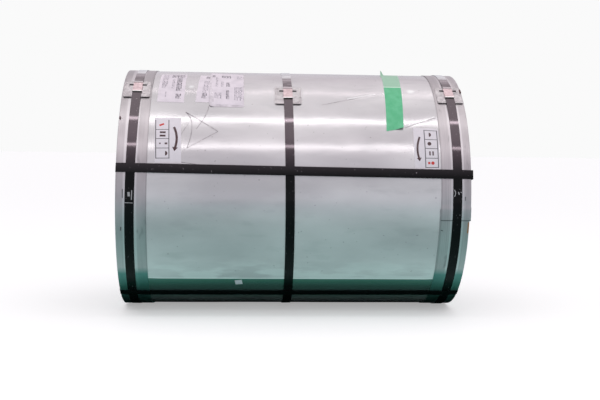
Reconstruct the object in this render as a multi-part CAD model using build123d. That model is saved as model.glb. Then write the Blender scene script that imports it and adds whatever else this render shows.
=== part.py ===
"""Steel coil in metal export packing, lying on its side with its eye horizontal.

X runs along the coil's axis, -Y is the front and +Z is up. Lengths are in millimetres.
The origin is on the floor, under the middle of the coil. Angles round the coil are in
degrees: 0 faces the front, 90 is the top and -90 is the line that it rests on.
"""
import os
from math import acos, atan, cos, degrees, hypot, radians, sin, tan

from build123d import *

# The wound strip
strip_width = 1219.0
coil_diameter = 878.0
eye_diameter = 508.0
turn_shift = 0.6
turn_shifts = (0.0, turn_shift, -turn_shift, 0.0)

# The wrapper sheet, rolled once round the coil and lapped
wrapper_thickness = 0.6
wrapper_lap_angle = -45.1
wrapper_lap_length = 76.0
wrapper_joggle_length = 30.0
wrapper_end_gap = 7.5

# The L-section edge protectors, two half rings at each end
protector_thickness = 1.0
protector_band = 104.0
protector_flange = 58.0
protector_lap_length = 46.0
protector_joggle_length = 2.0
upper_standoff = 4.6
lower_standoff = 1.2
protector_lap_angles = {"left": (-84.0, 96.0), "right": (-12.1, 167.9)}

# The steel straps, their pads and their crimped seals
strap_width = 32.0
strap_thickness = 0.8
strap_tail_length = 88.0
side_strap_inset = 48.5
centre_strap_offset = -18.0
strap_tilts = {"left": 0.65, "centre": -0.82, "right": 0.0}
pad_angles = {"left": 54.0, "centre": 51.0, "right": 53.0}
pad_width = 95.0
pad_length = 100.0
pad_thickness = 2.0
pad_corner_radius = 8.0
pad_slot_width = 63.0
pad_slot_height = 9.0
pad_slot_rise = 28.0
seal_length = 57.0
seal_wall = 0.8
seal_rise = 10.0
seal_lip = 9.0
seal_notch_length = 5.0
seal_notch_spacing = 24.0
eye_seal_clearance = 6.5

# The straps through the eye: angle at the middle, slant over the length, end with the seal
eye_straps = {
    "eye_strap_front": (9.9, -0.57, "left"),
    "eye_strap_low": (-57.0, 0.21, "right"),
    "eye_strap_top": (107.0, 0.0, "right"),
    "eye_strap_back": (-155.0, 0.0, "left"),
}

# Clearances
skin_gap = 0.1
lap_gap = 0.2
strap_ease = 0.3
seal_ease = 0.05

# The whole circle in degrees, and the share of a sheet's thickness to cut off a square
# corner so that its bend stays as thick as the sheet
full_turn = 360.0
bend_cut = 2 - 2**0.5

# Sizes that follow from the ones above
coil_radius = coil_diameter / 2
eye_radius = eye_diameter / 2
wrapper_inside = coil_radius + skin_gap
wrapper_outside = wrapper_inside + wrapper_thickness
wrapper_lap_inside = wrapper_outside + lap_gap
wrapper_lap_outside = wrapper_lap_inside + wrapper_thickness
protector_inside = wrapper_lap_outside + skin_gap
protector_outside = protector_inside + protector_thickness
protector_lap_step = protector_thickness + skin_gap
protector_standoff = {"upper": upper_standoff, "lower": lower_standoff}
flange_end = protector_inside - protector_flange
protector_lap_outside = protector_outside + protector_lap_step
pack_half_length = strip_width / 2 + upper_standoff + protector_thickness
side_strap_inside = protector_lap_outside + strap_ease
side_strap_outside = side_strap_inside + strap_thickness
centre_strap_inside = wrapper_lap_outside + strap_ease
side_strap_x = pack_half_length - side_strap_inset
eye_strap_end = strip_width / 2 + turn_shift + skin_gap + seal_wall + seal_ease
eye_seal_radius = flange_end - eye_seal_clearance - seal_length / 2
side_strap_tilt = max(abs(strap_tilts["left"]), abs(strap_tilts["right"]))
axis_height = (
    side_strap_outside * cos(radians(side_strap_tilt))
    + strap_width / 2 * sin(radians(side_strap_tilt))
)

# Looks along the axis from the left end: front to the right of it, up is up
SECTION = Plane(origin=(0, 0, 0), x_dir=(0, -1, 0), z_dir=(-1, 0, 0))


def polar(radius, angle):
    """Point of the coil's cross-section at a radius and an angle round the coil."""
    return (radius * cos(radians(angle)), radius * sin(radians(angle)))


def arc(radius, start, end):
    """Arc round the coil's axis in the cross-section, from one angle to another."""
    return CenterArc((0, 0), radius, start, end - start)


def turned_to(part, angle):
    """Swing a piece that was drawn at the top of the coil to its angle round the coil."""
    return Rot(90 - angle, 0, 0) * part


def coil_profile():
    """Half section of the wound strip, with groups of turns shifted a little sideways."""
    half = strip_width / 2
    band = (coil_radius - eye_radius) / len(turn_shifts)
    right_end = []
    left_end = []
    for index, shift in enumerate(turn_shifts):
        for radius in (eye_radius + index * band, eye_radius + (index + 1) * band):
            right_end.append((half + shift, radius))
            left_end.append((shift - half, radius))
    return Plane.XZ * make_face(Polyline(*right_end, *reversed(left_end), close=True))


def coil():
    return revolve(coil_profile(), Axis.X, full_turn)


def wrapper_section():
    """The sheet in cross-section: once round, then a joggle up and over its own start."""
    lap = degrees(wrapper_lap_length / wrapper_outside)
    joggle = degrees(wrapper_joggle_length / wrapper_outside)
    over_from = wrapper_lap_angle
    over_to = over_from + lap
    round_from = over_to + joggle
    round_to = full_turn + over_to - degrees(wrapper_end_gap / wrapper_outside)
    outline = [
        arc(wrapper_lap_outside, over_from, over_to),
        Line(polar(wrapper_lap_outside, over_to), polar(wrapper_outside, round_from)),
        arc(wrapper_outside, round_from, round_to),
        Line(polar(wrapper_outside, round_to), polar(wrapper_inside, round_to)),
        arc(wrapper_inside, round_to, round_from),
        Line(polar(wrapper_inside, round_from), polar(wrapper_lap_inside, over_to)),
        arc(wrapper_lap_inside, over_to, over_from),
        Line(polar(wrapper_lap_inside, over_from), polar(wrapper_lap_outside, over_from)),
    ]
    return SECTION * make_face(Wire(outline))


def wrapper_sheet():
    return extrude(wrapper_section(), strip_width / 2, both=True)


def protector_profile(standoff, lift, depth):
    """L section at the right end, lifted off the coil by one lap, as thick as depth."""
    outside = protector_inside + lift + depth
    face = strip_width / 2 + standoff + lift + depth
    band_end = face - depth - protector_band
    outline = Polyline(
        (band_end, outside - depth),
        (band_end, outside),
        (face, outside),
        (face, flange_end),
        (face - depth, flange_end),
        (face - depth, outside - depth),
        close=True,
    )
    section = make_face(outline)
    bend = section.vertices().sort_by(lambda v: v.X + v.Y)[-1]
    return Plane.XZ * chamfer(bend, depth * bend_cut)


def protector_arc(profile, start, end):
    """Turn an L profile round the axis from one angle to another."""
    return turned_to(revolve(profile, Axis.X, end - start), end)


def protector(side, half):
    """Half ring. The upper half is joggled outwards at both ends, over the lower one."""
    first, second = protector_lap_angles[side]
    lap = degrees(protector_lap_length / protector_outside)
    step = degrees(protector_joggle_length / protector_outside)
    standoff = protector_standoff[half]
    plain = protector_profile(standoff, 0, protector_thickness)
    if half == "lower":
        piece = protector_arc(plain, second - lap + step, first + full_turn + lap - step)
    else:
        raised = protector_profile(standoff, protector_lap_step, protector_thickness)
        joggle = protector_profile(standoff, 0, protector_thickness + protector_lap_step)
        piece = protector_arc(plain, first + lap + step, second - lap - step)
        piece += protector_arc(joggle, first + lap, first + lap + step)
        piece += protector_arc(joggle, second - lap - step, second - lap)
        piece += protector_arc(raised, first, first + lap)
        piece += protector_arc(raised, second - lap, second)
    return mirror(piece, Plane.YZ) if side == "left" else piece


def taut_loop(radius, angle, half_flat, flat_height):
    """Area inside a strap pulled tight round a circle and over a flat pad at an angle."""
    rise = degrees(atan(half_flat / flat_height))
    reach = rise + degrees(acos(radius / hypot(half_flat, flat_height)))
    corner = hypot(half_flat, flat_height)
    outline = [
        arc(radius, angle + reach, angle + full_turn - reach),
        Line(polar(radius, angle - reach), polar(corner, angle - rise)),
        Line(polar(corner, angle - rise), polar(corner, angle + rise)),
        Line(polar(corner, angle + rise), polar(radius, angle + reach)),
    ]
    return make_face(Wire(outline)), reach


def pad_seat(surface):
    """Distance from the axis to the strap's inner face where it runs over its pad."""
    return surface + skin_gap + pad_thickness + strap_ease + seal_wall


def strap_tail():
    """Second layer of the strap at its joint, drawn on a strap whose inner face is z 0."""
    tail = Box(strap_tail_length, strap_width, strap_thickness)
    return Pos(0, 0, 1.5 * strap_thickness) * tail


def seal():
    """Crimped sleeve round both layers, open below between its two lips."""
    inner_width = strap_width + 2 * strap_ease
    inner_height = 2 * (strap_thickness + seal_ease)
    outer = Box(seal_length, inner_width + 2 * seal_wall, inner_height + 2 * seal_wall)
    sleeve = chamfer(outer.edges().filter_by(Axis.X).group_by(Axis.Z)[-1], seal_wall / 2)
    sleeve -= Box(seal_length, inner_width, inner_height)
    sleeve -= Pos(0, 0, -inner_height / 2) * Box(seal_length, inner_width - 2 * seal_lip, 2 * seal_wall)
    for along in (-seal_notch_spacing / 2, seal_notch_spacing / 2):
        for side in (-1, 1):
            notch = Box(seal_notch_length, 2 * seal_wall, inner_height)
            sleeve -= Pos(along, side * (inner_width / 2 + seal_wall), 0) * notch
    return Pos(0, 0, strap_thickness) * sleeve


def ring_strap(x, surface, inside, angle, tilt):
    """Strap round the coil, its two ends lapped over the pad."""
    flat = pad_seat(surface)
    inner, reach = taut_loop(inside, angle, pad_length / 2, flat)
    mitre = strap_thickness * tan(radians(reach / 2))
    outer, _ = taut_loop(
        inside + strap_thickness, angle, pad_length / 2 + mitre, flat + strap_thickness
    )
    loop = extrude(SECTION * (outer - inner), strap_width / 2, both=True)
    loop += turned_to(Pos(0, seal_rise, flat) * Rot(0, 0, 90) * strap_tail(), angle)
    return Pos(x, 0, 0) * Rot(0, tilt, 0) * loop


def pad(x, surface, angle, tilt):
    """Slotted plate that keeps the seal off the surface below, flat on it under its strap."""
    plate = Box(pad_width, pad_length, pad_thickness)
    plate = fillet(plate.edges().filter_by(Axis.Z), pad_corner_radius)
    plate -= Pos(0, pad_slot_rise, 0) * Box(pad_slot_width, pad_slot_height, 2 * pad_thickness)
    height = surface + skin_gap + pad_thickness / 2
    under_strap = height * sin(radians(angle)) * sin(radians(tilt))
    return Pos(x + under_strap, 0, 0) * turned_to(Pos(0, 0, height) * plate, angle)


def ring_seal(x, surface, angle, tilt):
    placed = turned_to(Pos(0, seal_rise, pad_seat(surface)) * Rot(0, 0, 90) * seal(), angle)
    return Pos(x, 0, 0) * Rot(0, tilt, 0) * placed


def covering_half(side, angle):
    """Which half ring of the protector lies under an angle."""
    first, second = protector_lap_angles[side]
    return "upper" if first <= angle < second else "lower"


def flange_x(side, angle):
    """How far out the protector's flange stands at an angle."""
    standoff = protector_standoff[covering_half(side, angle)]
    return strip_width / 2 + standoff + protector_thickness + skin_gap


def eye_strap_area(left, right):
    """Area inside a strap pulled tight round the coil's wall, in the plane of its axis."""
    over_strap = side_strap_outside + strap_ease
    corner = protector_outside + skin_gap
    strap_edge = side_strap_x + strap_width / 2
    wall = eye_radius - skin_gap
    return make_face(
        Polyline(
            (-left, corner),
            (-strap_edge, over_strap),
            (strap_edge, over_strap),
            (right, corner),
            (right, flange_end),
            (eye_strap_end, wall),
            (-eye_strap_end, wall),
            (-left, flange_end),
            close=True,
        )
    )


def end_run(side, angle):
    """The strap's inner face down one end: where its seal sits, and its lean from upright."""
    sign = -1 if side == "left" else 1
    outer = Vector(sign * flange_x(side, angle), flange_end)
    inner = Vector(sign * eye_strap_end, eye_radius - skin_gap)
    lean = degrees(atan((outer.X - inner.X) / (outer.Y - inner.Y)))
    share = (eye_seal_radius - inner.Y) / (outer.Y - inner.Y)
    return inner + (outer - inner) * share, lean, sign


def eye_strap(angle, slant, seal_side):
    """Strap along the outside, down both ends and back through the eye."""
    area = eye_strap_area(flange_x("left", angle), flange_x("right", angle))
    outer = offset(area, strap_thickness, kind=Kind.INTERSECTION)
    bends = outer.vertices().sort_by(lambda v: abs(v.X) + v.Y)[-2:]
    band = chamfer(bends, strap_thickness * bend_cut) - area
    middle, lean, sign = end_run(seal_side, angle)
    tail = Pos(sign * strap_thickness, 0) * Rectangle(2 * strap_thickness, strap_tail_length)
    band += Pos(middle.X, middle.Y) * Rot(0, 0, -lean) * tail
    sweep = 2 * degrees(strap_width / eye_radius)
    swept = turned_to(revolve(Plane.XZ * band, Axis.X, sweep), 90 + sweep / 2)
    reach = pack_half_length + strap_width
    strip = Box(2 * reach, strap_width, 2 * side_strap_outside)
    loop = swept & (Pos(0, 0, side_strap_outside) * Rot(0, 0, slant) * strip)
    return turned_to(loop, angle)


def eye_seal(angle, slant, seal_side):
    """Seal on an end run, where the strap's second layer is."""
    middle, lean, sign = end_run(seal_side, angle)
    aside = middle.X * tan(radians(slant))
    upright = Rot(0, 90 * sign, 0) * seal()
    placed = Pos(middle.X, aside, middle.Y) * Rot(0, lean, 0) * upright
    return turned_to(placed, angle)


def build_nodes():
    nodes = {"coil": coil(), "wrapper_sheet": wrapper_sheet()}
    for side in ("left", "right"):
        for half in ("upper", "lower"):
            nodes[f"edge_protector_{side}_{half}"] = protector(side, half)
    ring_places = {
        "left": (-side_strap_x, protector_outside, side_strap_inside),
        "centre": (centre_strap_offset, wrapper_outside, centre_strap_inside),
        "right": (side_strap_x, protector_outside, side_strap_inside),
    }
    for name, (x, surface, inside) in ring_places.items():
        angle = pad_angles[name]
        tilt = strap_tilts[name]
        nodes[f"strap_{name}"] = ring_strap(x, surface, inside, angle, tilt)
        nodes[f"pad_{name}"] = pad(x, surface, angle, tilt)
        nodes[f"seal_{name}"] = ring_seal(x, surface, angle, tilt)
    for name, (angle, slant, seal_side) in eye_straps.items():
        nodes[name] = eye_strap(angle, slant, seal_side)
        nodes[name.replace("strap", "seal")] = eye_seal(angle, slant, seal_side)
    return nodes


os.makedirs("parts", exist_ok=True)
for node_name, shape in build_nodes().items():
    raised_shape = Pos(0, 0, axis_height) * shape
    export_step(raised_shape, f"parts/{node_name}.step")
    box = raised_shape.bounding_box()
    print(f"{node_name}: solids {len(raised_shape.solids())}, volume {raised_shape.volume / 1000:.1f} cm3,",
          f"size {box.size.X:.2f} x {box.size.Y:.2f} x {box.size.Z:.2f}, lowest {box.min.Z:.3f}")
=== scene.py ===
# %% [markdown]
# A steel coil in its export packing
#
# The object is a coil of bright stainless strip, lying on its side. A thin zinc-coated sheet is rolled
# round it, L-shaped steel rings guard its edges, and black steel straps hold the pack together.
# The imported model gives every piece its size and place. Here each piece gets the surface that
# the eye sees: dents in the sheet, rubbed paint on the straps, paper labels and green tape.
#
# X runs along the coil's axis, -Y is the front and +Z is up. Sizes are written in millimetres
# and turned to metres with `mm`. Angles round the coil are in degrees: 0 faces the front, 90 is
# the top and -90 is the line that the coil rests on.

# %% Load the fixed frame
import math

import bmesh
import bpy
from mathutils import Matrix, Vector, noise


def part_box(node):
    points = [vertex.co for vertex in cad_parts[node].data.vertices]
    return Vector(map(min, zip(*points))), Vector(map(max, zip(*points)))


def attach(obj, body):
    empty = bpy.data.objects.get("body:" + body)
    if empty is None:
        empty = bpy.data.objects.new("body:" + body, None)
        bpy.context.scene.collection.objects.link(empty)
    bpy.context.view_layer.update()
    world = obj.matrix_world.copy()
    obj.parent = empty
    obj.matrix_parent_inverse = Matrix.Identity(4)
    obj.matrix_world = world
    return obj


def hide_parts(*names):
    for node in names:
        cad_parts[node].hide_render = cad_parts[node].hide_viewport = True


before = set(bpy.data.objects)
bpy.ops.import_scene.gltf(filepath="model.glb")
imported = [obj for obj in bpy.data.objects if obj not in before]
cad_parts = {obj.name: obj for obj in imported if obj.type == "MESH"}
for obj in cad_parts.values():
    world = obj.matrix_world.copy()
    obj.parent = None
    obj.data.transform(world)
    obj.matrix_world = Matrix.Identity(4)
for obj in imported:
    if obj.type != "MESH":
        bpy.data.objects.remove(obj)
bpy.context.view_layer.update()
mm = 0.001
print("pieces in the frame:", len(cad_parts))

# %% [markdown]
# The layers of the pack lie on each other like the skins of an onion, so each one is known by its
# radius. The frame gives the coil's, and the others follow from the thickness of each sheet and the
# air between them.

# %% Radii of the layers
coil_low, coil_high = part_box("coil")
axis_height = (coil_low.z + coil_high.z) / 2
coil_radius = (coil_high.z - coil_low.z) / 2
eye_radius = 254 * mm
half_strip = 609.5 * mm
air = 0.1 * mm
sheet_thickness = 0.6 * mm
sheet_radius = coil_radius + air + sheet_thickness
lap_rise = 0.8 * mm
ring_thickness = 1.0 * mm
ring_radius = sheet_radius + lap_rise + air + ring_thickness
ring_lap_step = 1.1 * mm
strap_width = 32 * mm
strap_thickness = 0.8 * mm
side_strap_inside = ring_radius + ring_lap_step + 0.3 * mm
centre_strap_inside = sheet_radius + lap_rise + 0.3 * mm
strap_low, strap_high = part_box("strap_right")
side_strap_x = (strap_low.x + strap_high.x) / 2
centre_strap_x = -18 * mm
print(f"axis at {axis_height:.4f} m, sheet radius {sheet_radius:.4f} m, side straps at {side_strap_x:.4f} m")


# %% [markdown]
# Everything hugs the coil, so one function turns a distance along the axis, an angle and a radius
# into a point. Another carries a flat piece, drawn lying at the top of the coil, round to its
# angle. A smooth step goes from 0 to 1 without a kink, as bent sheet does.

# %% Points and places on the coil
def on_coil(x, angle, radius):
    turn = math.radians(angle)
    return Vector((x, -radius * math.cos(turn), axis_height + radius * math.sin(turn)))


def place_at(x, angle, tilt=0.0):
    along = Matrix.Translation((x, 0, axis_height))
    leaning = Matrix.Rotation(math.radians(tilt), 4, "Y")
    turned = Matrix.Rotation(math.radians(90 - angle), 4, "X")
    return along @ leaning @ turned


def smooth_step(low, high, value):
    share = min(max((value - low) / (high - low), 0.0), 1.0)
    return share * share * (3 - 2 * share)


# %% [markdown]
# A piece is a list of points and faces. Closed rings of points, one after another along a path,
# make most of them: an edge ring is an L carried round half a circle. `piece_from` turns the
# faces outwards, smooths all but the sharp edges, hangs the piece under the root body and hides
# the plain solid that it stands for.

# %% Build and hand over a piece
def joined_rings(rings):
    """Points and faces of a tube through rings of equal length, with both ends capped."""
    size = len(rings[0])
    points = [point for ring in rings for point in ring]
    faces = []
    for i in range(len(rings) - 1):
        here = i * size
        for j in range(size):
            k = (j + 1) % size
            faces.append((here + j, here + k, here + size + k, here + size + j))
    last = len(points) - size
    faces.append(tuple(range(size - 1, -1, -1)))
    faces.append(tuple(range(last, last + size)))
    return points, faces


def hand_over(name, mesh, stands_for=(), sharp=35.0):
    """Make the mesh a piece of the coil. Edges sharper than so many degrees stay sharp."""
    shape = bmesh.new()
    shape.from_mesh(mesh)
    bmesh.ops.recalc_face_normals(shape, faces=shape.faces)
    shape.to_mesh(mesh)
    shape.free()
    mesh.name = name
    mesh.shade_smooth()
    mesh.set_sharp_from_angle(angle=math.radians(sharp))
    piece = bpy.data.objects.new(name, mesh)
    bpy.context.scene.collection.objects.link(piece)
    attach(piece, "root")
    if stands_for:
        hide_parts(*stands_for)
    print(f"{name}: {sum(len(face.vertices) - 2 for face in mesh.polygons)} triangles")


def piece_from(name, points, faces, material, stands_for=(), sharp=35.0, flat_places=None):
    """Flat places, if given, are each point's place on the unrolled piece, kept as a UV map."""
    mesh = bpy.data.meshes.new(name)
    mesh.from_pydata(points, [], faces)
    mesh.materials.append(material)
    if flat_places:
        layer = mesh.uv_layers.new(name="unrolled")
        for loop in mesh.loops:
            layer.data[loop.index].uv = flat_places[loop.vertex_index]
    hand_over(name, mesh, stands_for, sharp)


# %% [markdown]
# Colours are written as the sRGB hex values that a colour picker shows, and one function turns
# them to the linear values that the shader works with. One more function adds a node with its
# settings and links. It gives back an output, so a material reads from its pattern to its shader.
# Nearly every finish here is built in the same steps: a soft noise whose patches have a real size,
# a few colours laid over each other where a pattern is strong, and one shader at the end.

# %% Colours and nodes
def linear(hex_colour):
    channels = [int(hex_colour[i:i + 2], 16) / 255 for i in (1, 3, 5)]
    return [c / 12.92 if c <= 0.04045 else ((c + 0.055) / 1.055) ** 2.4 for c in channels] + [1.0]


def add_node(tree, kind, inputs=(), output=0, **settings):
    """Add a node and give back one of its outputs. An input is a value, an output or a list of outputs."""
    node = tree.nodes.new(kind)
    for name, value in settings.items():
        setattr(node, name, value)
    socket = bpy.types.NodeSocket
    for name, value in dict(inputs).items():
        several = isinstance(value, list) and isinstance(value[0], socket)
        for one in value if several else [value]:
            if isinstance(one, socket):
                tree.links.new(one, node.inputs[name])
            else:
                node.inputs[name].default_value = one
    return node.outputs[output] if node.outputs else None


def set_stops(colour, stops):
    """Give a colour ramp these stops, from the first to the last, in place of its own two."""
    elements = colour.node.color_ramp.elements
    for element, (position, hex_colour) in zip(elements, (stops[0], stops[-1])):
        element.position = position
        element.color = linear(hex_colour)
    for position, hex_colour in stops[1:-1]:
        elements.new(position).color = linear(hex_colour)


def new_material(name):
    material = bpy.data.materials.new(name)
    material.use_nodes = True
    material.node_tree.nodes.clear()
    print("finish:", name)
    return material, material.node_tree


def mottling(tree, size, detail):
    """Soft noise in patches of this size, in millimetres: one size for all axes, or one for each."""
    sizes = size if isinstance(size, tuple) else (size, size, size)
    place = add_node(tree, "ShaderNodeTexCoord", output="Object")
    scale = [1 / (one * mm) for one in sizes]
    scaled = add_node(tree, "ShaderNodeMapping", {"Vector": place, "Scale": scale})
    return add_node(tree, "ShaderNodeTexNoise", {"Vector": scaled, "Scale": 1.0, "Detail": detail})


def tinted(tree, under, colour, pattern, low, high, most=1.0):
    """Lay a colour over a tone: none of it where the pattern is at `low`, `most` where it is at `high`."""
    share = add_node(tree, "ShaderNodeMapRange", {
        "Value": pattern, "From Min": low, "From Max": high, "To Max": most})
    tone = linear(under) if isinstance(under, str) else under
    return add_node(tree, "ShaderNodeMix", {0: share, 6: tone, 7: linear(colour)}, output=2,
                    data_type="RGBA")


def finish_material(tree, inputs):
    """End a material with its one shader, which gets these inputs."""
    shader = add_node(tree, "ShaderNodeBsdfPrincipled", inputs)
    add_node(tree, "ShaderNodeOutputMaterial", {"Surface": shader})


# %% [markdown]
# The camera comes first. It stands about four metres off, a little above the axis, and turned
# four degrees to the right. The lens is a short telephoto, and a small shift makes up for the
# photograph's crop.

# %% Camera
camera_place = Vector((-188 * mm, -3943 * mm, axis_height + 182 * mm))
camera_yaw = math.radians(4.126)
camera_rise = math.radians(0.598)
camera_roll = math.radians(0.759)

forward = Vector((math.sin(camera_yaw) * math.cos(camera_rise),
                  math.cos(camera_yaw) * math.cos(camera_rise),
                  math.sin(camera_rise)))
level = Vector((math.cos(camera_yaw), -math.sin(camera_yaw), 0))
upright = level.cross(forward)
right = level * math.cos(camera_roll) + upright * math.sin(camera_roll)
upward = upright * math.cos(camera_roll) - level * math.sin(camera_roll)
camera_data = bpy.data.cameras.new("camera")
camera_data.lens = 61.0
camera_data.sensor_width = 36.0
camera_data.shift_x = -0.025
camera_data.shift_y = -0.1167
camera = bpy.data.objects.new("camera", camera_data)
camera_axes = Matrix((right, upward, -forward)).transposed().to_4x4()
camera.matrix_world = Matrix.Translation(camera_place) @ camera_axes
bpy.context.scene.collection.objects.link(camera)
bpy.context.scene.camera = camera
bpy.context.scene.view_settings.view_transform = "Standard"
print("camera at", tuple(round(value, 3) for value in camera_place))

# %% [markdown]
# Bright metal shows its surroundings more than itself, so the studio is built for what the coil
# mirrors. A soft sky is brightest overhead, long lamps parallel to the axis draw the bright bands
# of the upper half, and a card on the floor, green near the coil and grey further out, gives the
# lower half its cool tone. The card glows faintly, and its darkest band, right under the coil, is
# painted shade. Only reflections see the card. The camera sees a plain pale floor.

# %% Sky
soft_sky = bpy.data.worlds.new("soft_sky")
bpy.context.scene.world = soft_sky
soft_sky.use_nodes = True
sky_tree = soft_sky.node_tree
sky_tree.nodes.clear()
direction = add_node(sky_tree, "ShaderNodeTexCoord", output="Generated")
height = add_node(sky_tree, "ShaderNodeSeparateXYZ", {0: direction}, output="Z")
sky_share = add_node(sky_tree, "ShaderNodeMapRange", {"Value": height, "From Min": -0.2, "From Max": 1.0})
sky_colour = add_node(sky_tree, "ShaderNodeValToRGB", {0: sky_share})
set_stops(sky_colour, ((0.0, "#8E9A98"), (0.16, "#CCCED3"), (0.42, "#D5D3DA"), (0.70, "#DCD6DB"),
                       (1.0, "#FFFFFF")))
seen = add_node(sky_tree, "ShaderNodeLightPath", output="Is Camera Ray")
behind = add_node(sky_tree, "ShaderNodeMix", {0: seen, 6: sky_colour, 7: linear("#FAFAFA")}, output=2,
                  data_type="RGBA")
sky_light = add_node(sky_tree, "ShaderNodeBackground", {"Color": behind, "Strength": 1.0})
add_node(sky_tree, "ShaderNodeOutputWorld", {"Surface": sky_light})
print("sky made of", len(sky_tree.nodes), "nodes")


# %% [markdown]
# A round shiny coil mirrors each long lamp as one bright line. To put that line at an angle that
# the photograph shows, the lamp's place is worked out backwards: from the camera to the surface,
# mirrored there, and on to where the lamp has to hang.

# %% Long lamps
lamp_length = 7.0
lamp_distance = 3.2


def long_lamp(name, line_angle, width, power, colour="#FFFFFF"):
    """A lamp parallel to the axis that shows in the sheet as a line at an angle round the coil."""
    spot = on_coil(0, line_angle, sheet_radius)
    outward = (spot - Vector((0, 0, axis_height))).normalized()
    sight = (spot - Vector((0, camera_place.y, camera_place.z))).normalized()
    mirrored = sight - 2 * sight.dot(outward) * outward
    lamp = bpy.data.lights.new(name, "AREA")
    lamp.shape = "RECTANGLE"
    lamp.size = lamp_length
    lamp.size_y = width
    lamp.energy = power
    lamp.color = linear(colour)[:3]
    holder = bpy.data.objects.new(name, lamp)
    turned = (-mirrored).to_track_quat("-Z", "Y").to_matrix()
    holder.matrix_world = Matrix.Translation(spot + lamp_distance * mirrored) @ turned.to_4x4()
    holder.visible_camera = False
    bpy.context.scene.collection.objects.link(holder)
    print(f"{name} at {tuple(round(value, 2) for value in holder.location)}")


long_lamp("lamp_over_front", 21.3, 0.15, 14.5)
long_lamp("lamp_overhead", 34.7, 0.18, 17.0)
long_lamp("lamp_over_back", 53.5, 0.06, 4.5, "#FFF4F8")


# %% Floors
floor_reach = 40.0
square = ((-1, -1), (1, -1), (1, 1), (-1, 1))  # its four corners, in order


def flat_floor(name, level_z, material):
    mesh = bpy.data.meshes.new(name)
    corners = [(floor_reach * x, floor_reach * y, level_z) for x, y in square]
    mesh.from_pydata(corners, [], [(0, 1, 2, 3)])
    mesh.materials.append(material)
    floor = bpy.data.objects.new(name, mesh)
    bpy.context.scene.collection.objects.link(floor)
    print(f"{name} at {level_z / mm:.1f} mm")
    return floor


pale_paint, tree = new_material("Pale matt floor paint")
finish_material(tree, {"Base Color": linear("#E4E4E4"), "Roughness": 0.9,
                       "Emission Color": linear("#FFFFFF"), "Emission Strength": 0.36})
pale_floor = flat_floor("pale_floor", -0.2 * mm, pale_paint)
pale_floor.visible_glossy = False
pale_floor.visible_diffuse = False
pale_floor.visible_shadow = False

green_paint, tree = new_material("Green and grey card")
place = add_node(tree, "ShaderNodeTexCoord", output="Object")
squashed = add_node(tree, "ShaderNodeMapping", {"Vector": place, "Scale": (0.12, 1.0, 1.0)})
from_middle = add_node(tree, "ShaderNodeVectorMath", {0: squashed}, output="Value", operation="LENGTH")
outward = add_node(tree, "ShaderNodeMapRange", {"Value": from_middle, "From Max": 3.0})
floor_tone = add_node(tree, "ShaderNodeValToRGB", {0: outward})
# Painted shade: the darkest stops lie right under the coil. The card's emission makes it glow.
set_stops(floor_tone, ((0.05, "#0A1614"), (0.080, "#12392F"), (0.092, "#3C8A76"), (0.108, "#B4D7D3"),
                       (0.14, "#A3C9C3"), (0.18, "#89B3AD"), (0.24, "#749E98"), (0.31, "#739894"),
                       (0.42, "#8CA8A7"), (0.58, "#9AAEB2"), (0.80, "#A6ADB2"), (1.0, "#D2D4DA")))
finish_material(tree, {"Base Color": floor_tone, "Roughness": 0.6, "Specular IOR Level": 0.0,
                       "Emission Color": floor_tone, "Emission Strength": 0.3})
green_card = flat_floor("green_card", -0.6 * mm, green_paint)
green_card.visible_camera = False

# %% [markdown]
# The wrapper is thin steel sheet, zinc coated and bright. It is rolled once round the coil and
# lapped low on the front. Sheet this thin never lies quite true: it has long shallow waves, a few
# dents from handling and two sharp creases, and they make the lamps' reflections wander. So the
# sheet is a fine grid whose radius comes from one function, and labels and tape use the same
# function to lie on it. A bump pattern would be less work, but it wouldn't bend the outline.

# %% Shape of the dented sheet
creases = (
    ((97 * mm, 44.8), (294 * mm, 52.9), 0.40 * mm),
    ((387 * mm, 31.7), (499 * mm, 37.6), 0.30 * mm),
    ((-420 * mm, 13.0), (-150 * mm, 11.6), 0.22 * mm),
)
dings = (
    (-430 * mm, 57.0, 26 * mm, 0.35 * mm),
    (-372 * mm, 58.5, 22 * mm, 0.9 * mm),
    (-118 * mm, 60.0, 30 * mm, 0.35 * mm),
    (428 * mm, 56.5, 24 * mm, 0.7 * mm),
    (-225 * mm, 37.0, 28 * mm, 0.30 * mm),
    (160 * mm, 24.0, 26 * mm, 0.30 * mm),
    (-260 * mm, -8.0, 30 * mm, 0.25 * mm),
    (300 * mm, -24.0, 28 * mm, 0.25 * mm),
)
# Each kind of wave has a height, a start, and so many waves to a metre along and round the coil.
waves = (
    (0.42 * mm, 0, 2.4, 7),
    (0.40 * mm, 5, 6, 17),
    (0.10 * mm, 9, 17, 38),
)
print(f"the sheet has {len(creases)} creases and {len(dings)} dings")


def unrolled(x, angle):
    """Place on the sheet laid flat: along the axis, and along the arc from the front."""
    return Vector((x, math.radians(angle) * sheet_radius))


def from_crease(spot, crease):
    """Distance from a place on the flat sheet to a crease, and how far along it that is."""
    start = unrolled(*crease[0])
    run = unrolled(*crease[1]) - start
    out = spot - start
    share = min(max(out.dot(run) / run.length_squared, 0.0), 1.0)
    return (out - run * share).length, share


def dent(x, angle):
    """How far the sheet stands off its true radius, in metres."""
    turn = math.radians(angle)
    y = sheet_radius * math.cos(turn)
    z = sheet_radius * math.sin(turn)
    rise = 0.0
    for height, start, along, around in waves:
        rise += height * noise.noise(Vector((along * x + start, around * y, around * z)))
    if -90 < angle < 90:
        spot = unrolled(x, angle)
        for crease in creases:
            away, share = from_crease(spot, crease)
            rise -= crease[2] * math.exp(-((away / (5 * mm)) ** 2)) * math.sin(math.pi * share) ** 0.5
        for ding_x, ding_angle, width, depth in dings:
            out = spot - unrolled(ding_x, ding_angle)
            rise -= depth * math.exp(-(out.x**2 + 2.5 * out.y**2) / width**2)
    return rise


def on_sheet(x, angle, lift):
    return on_coil(x, angle, sheet_radius + dent(x, angle) + lift)
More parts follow.
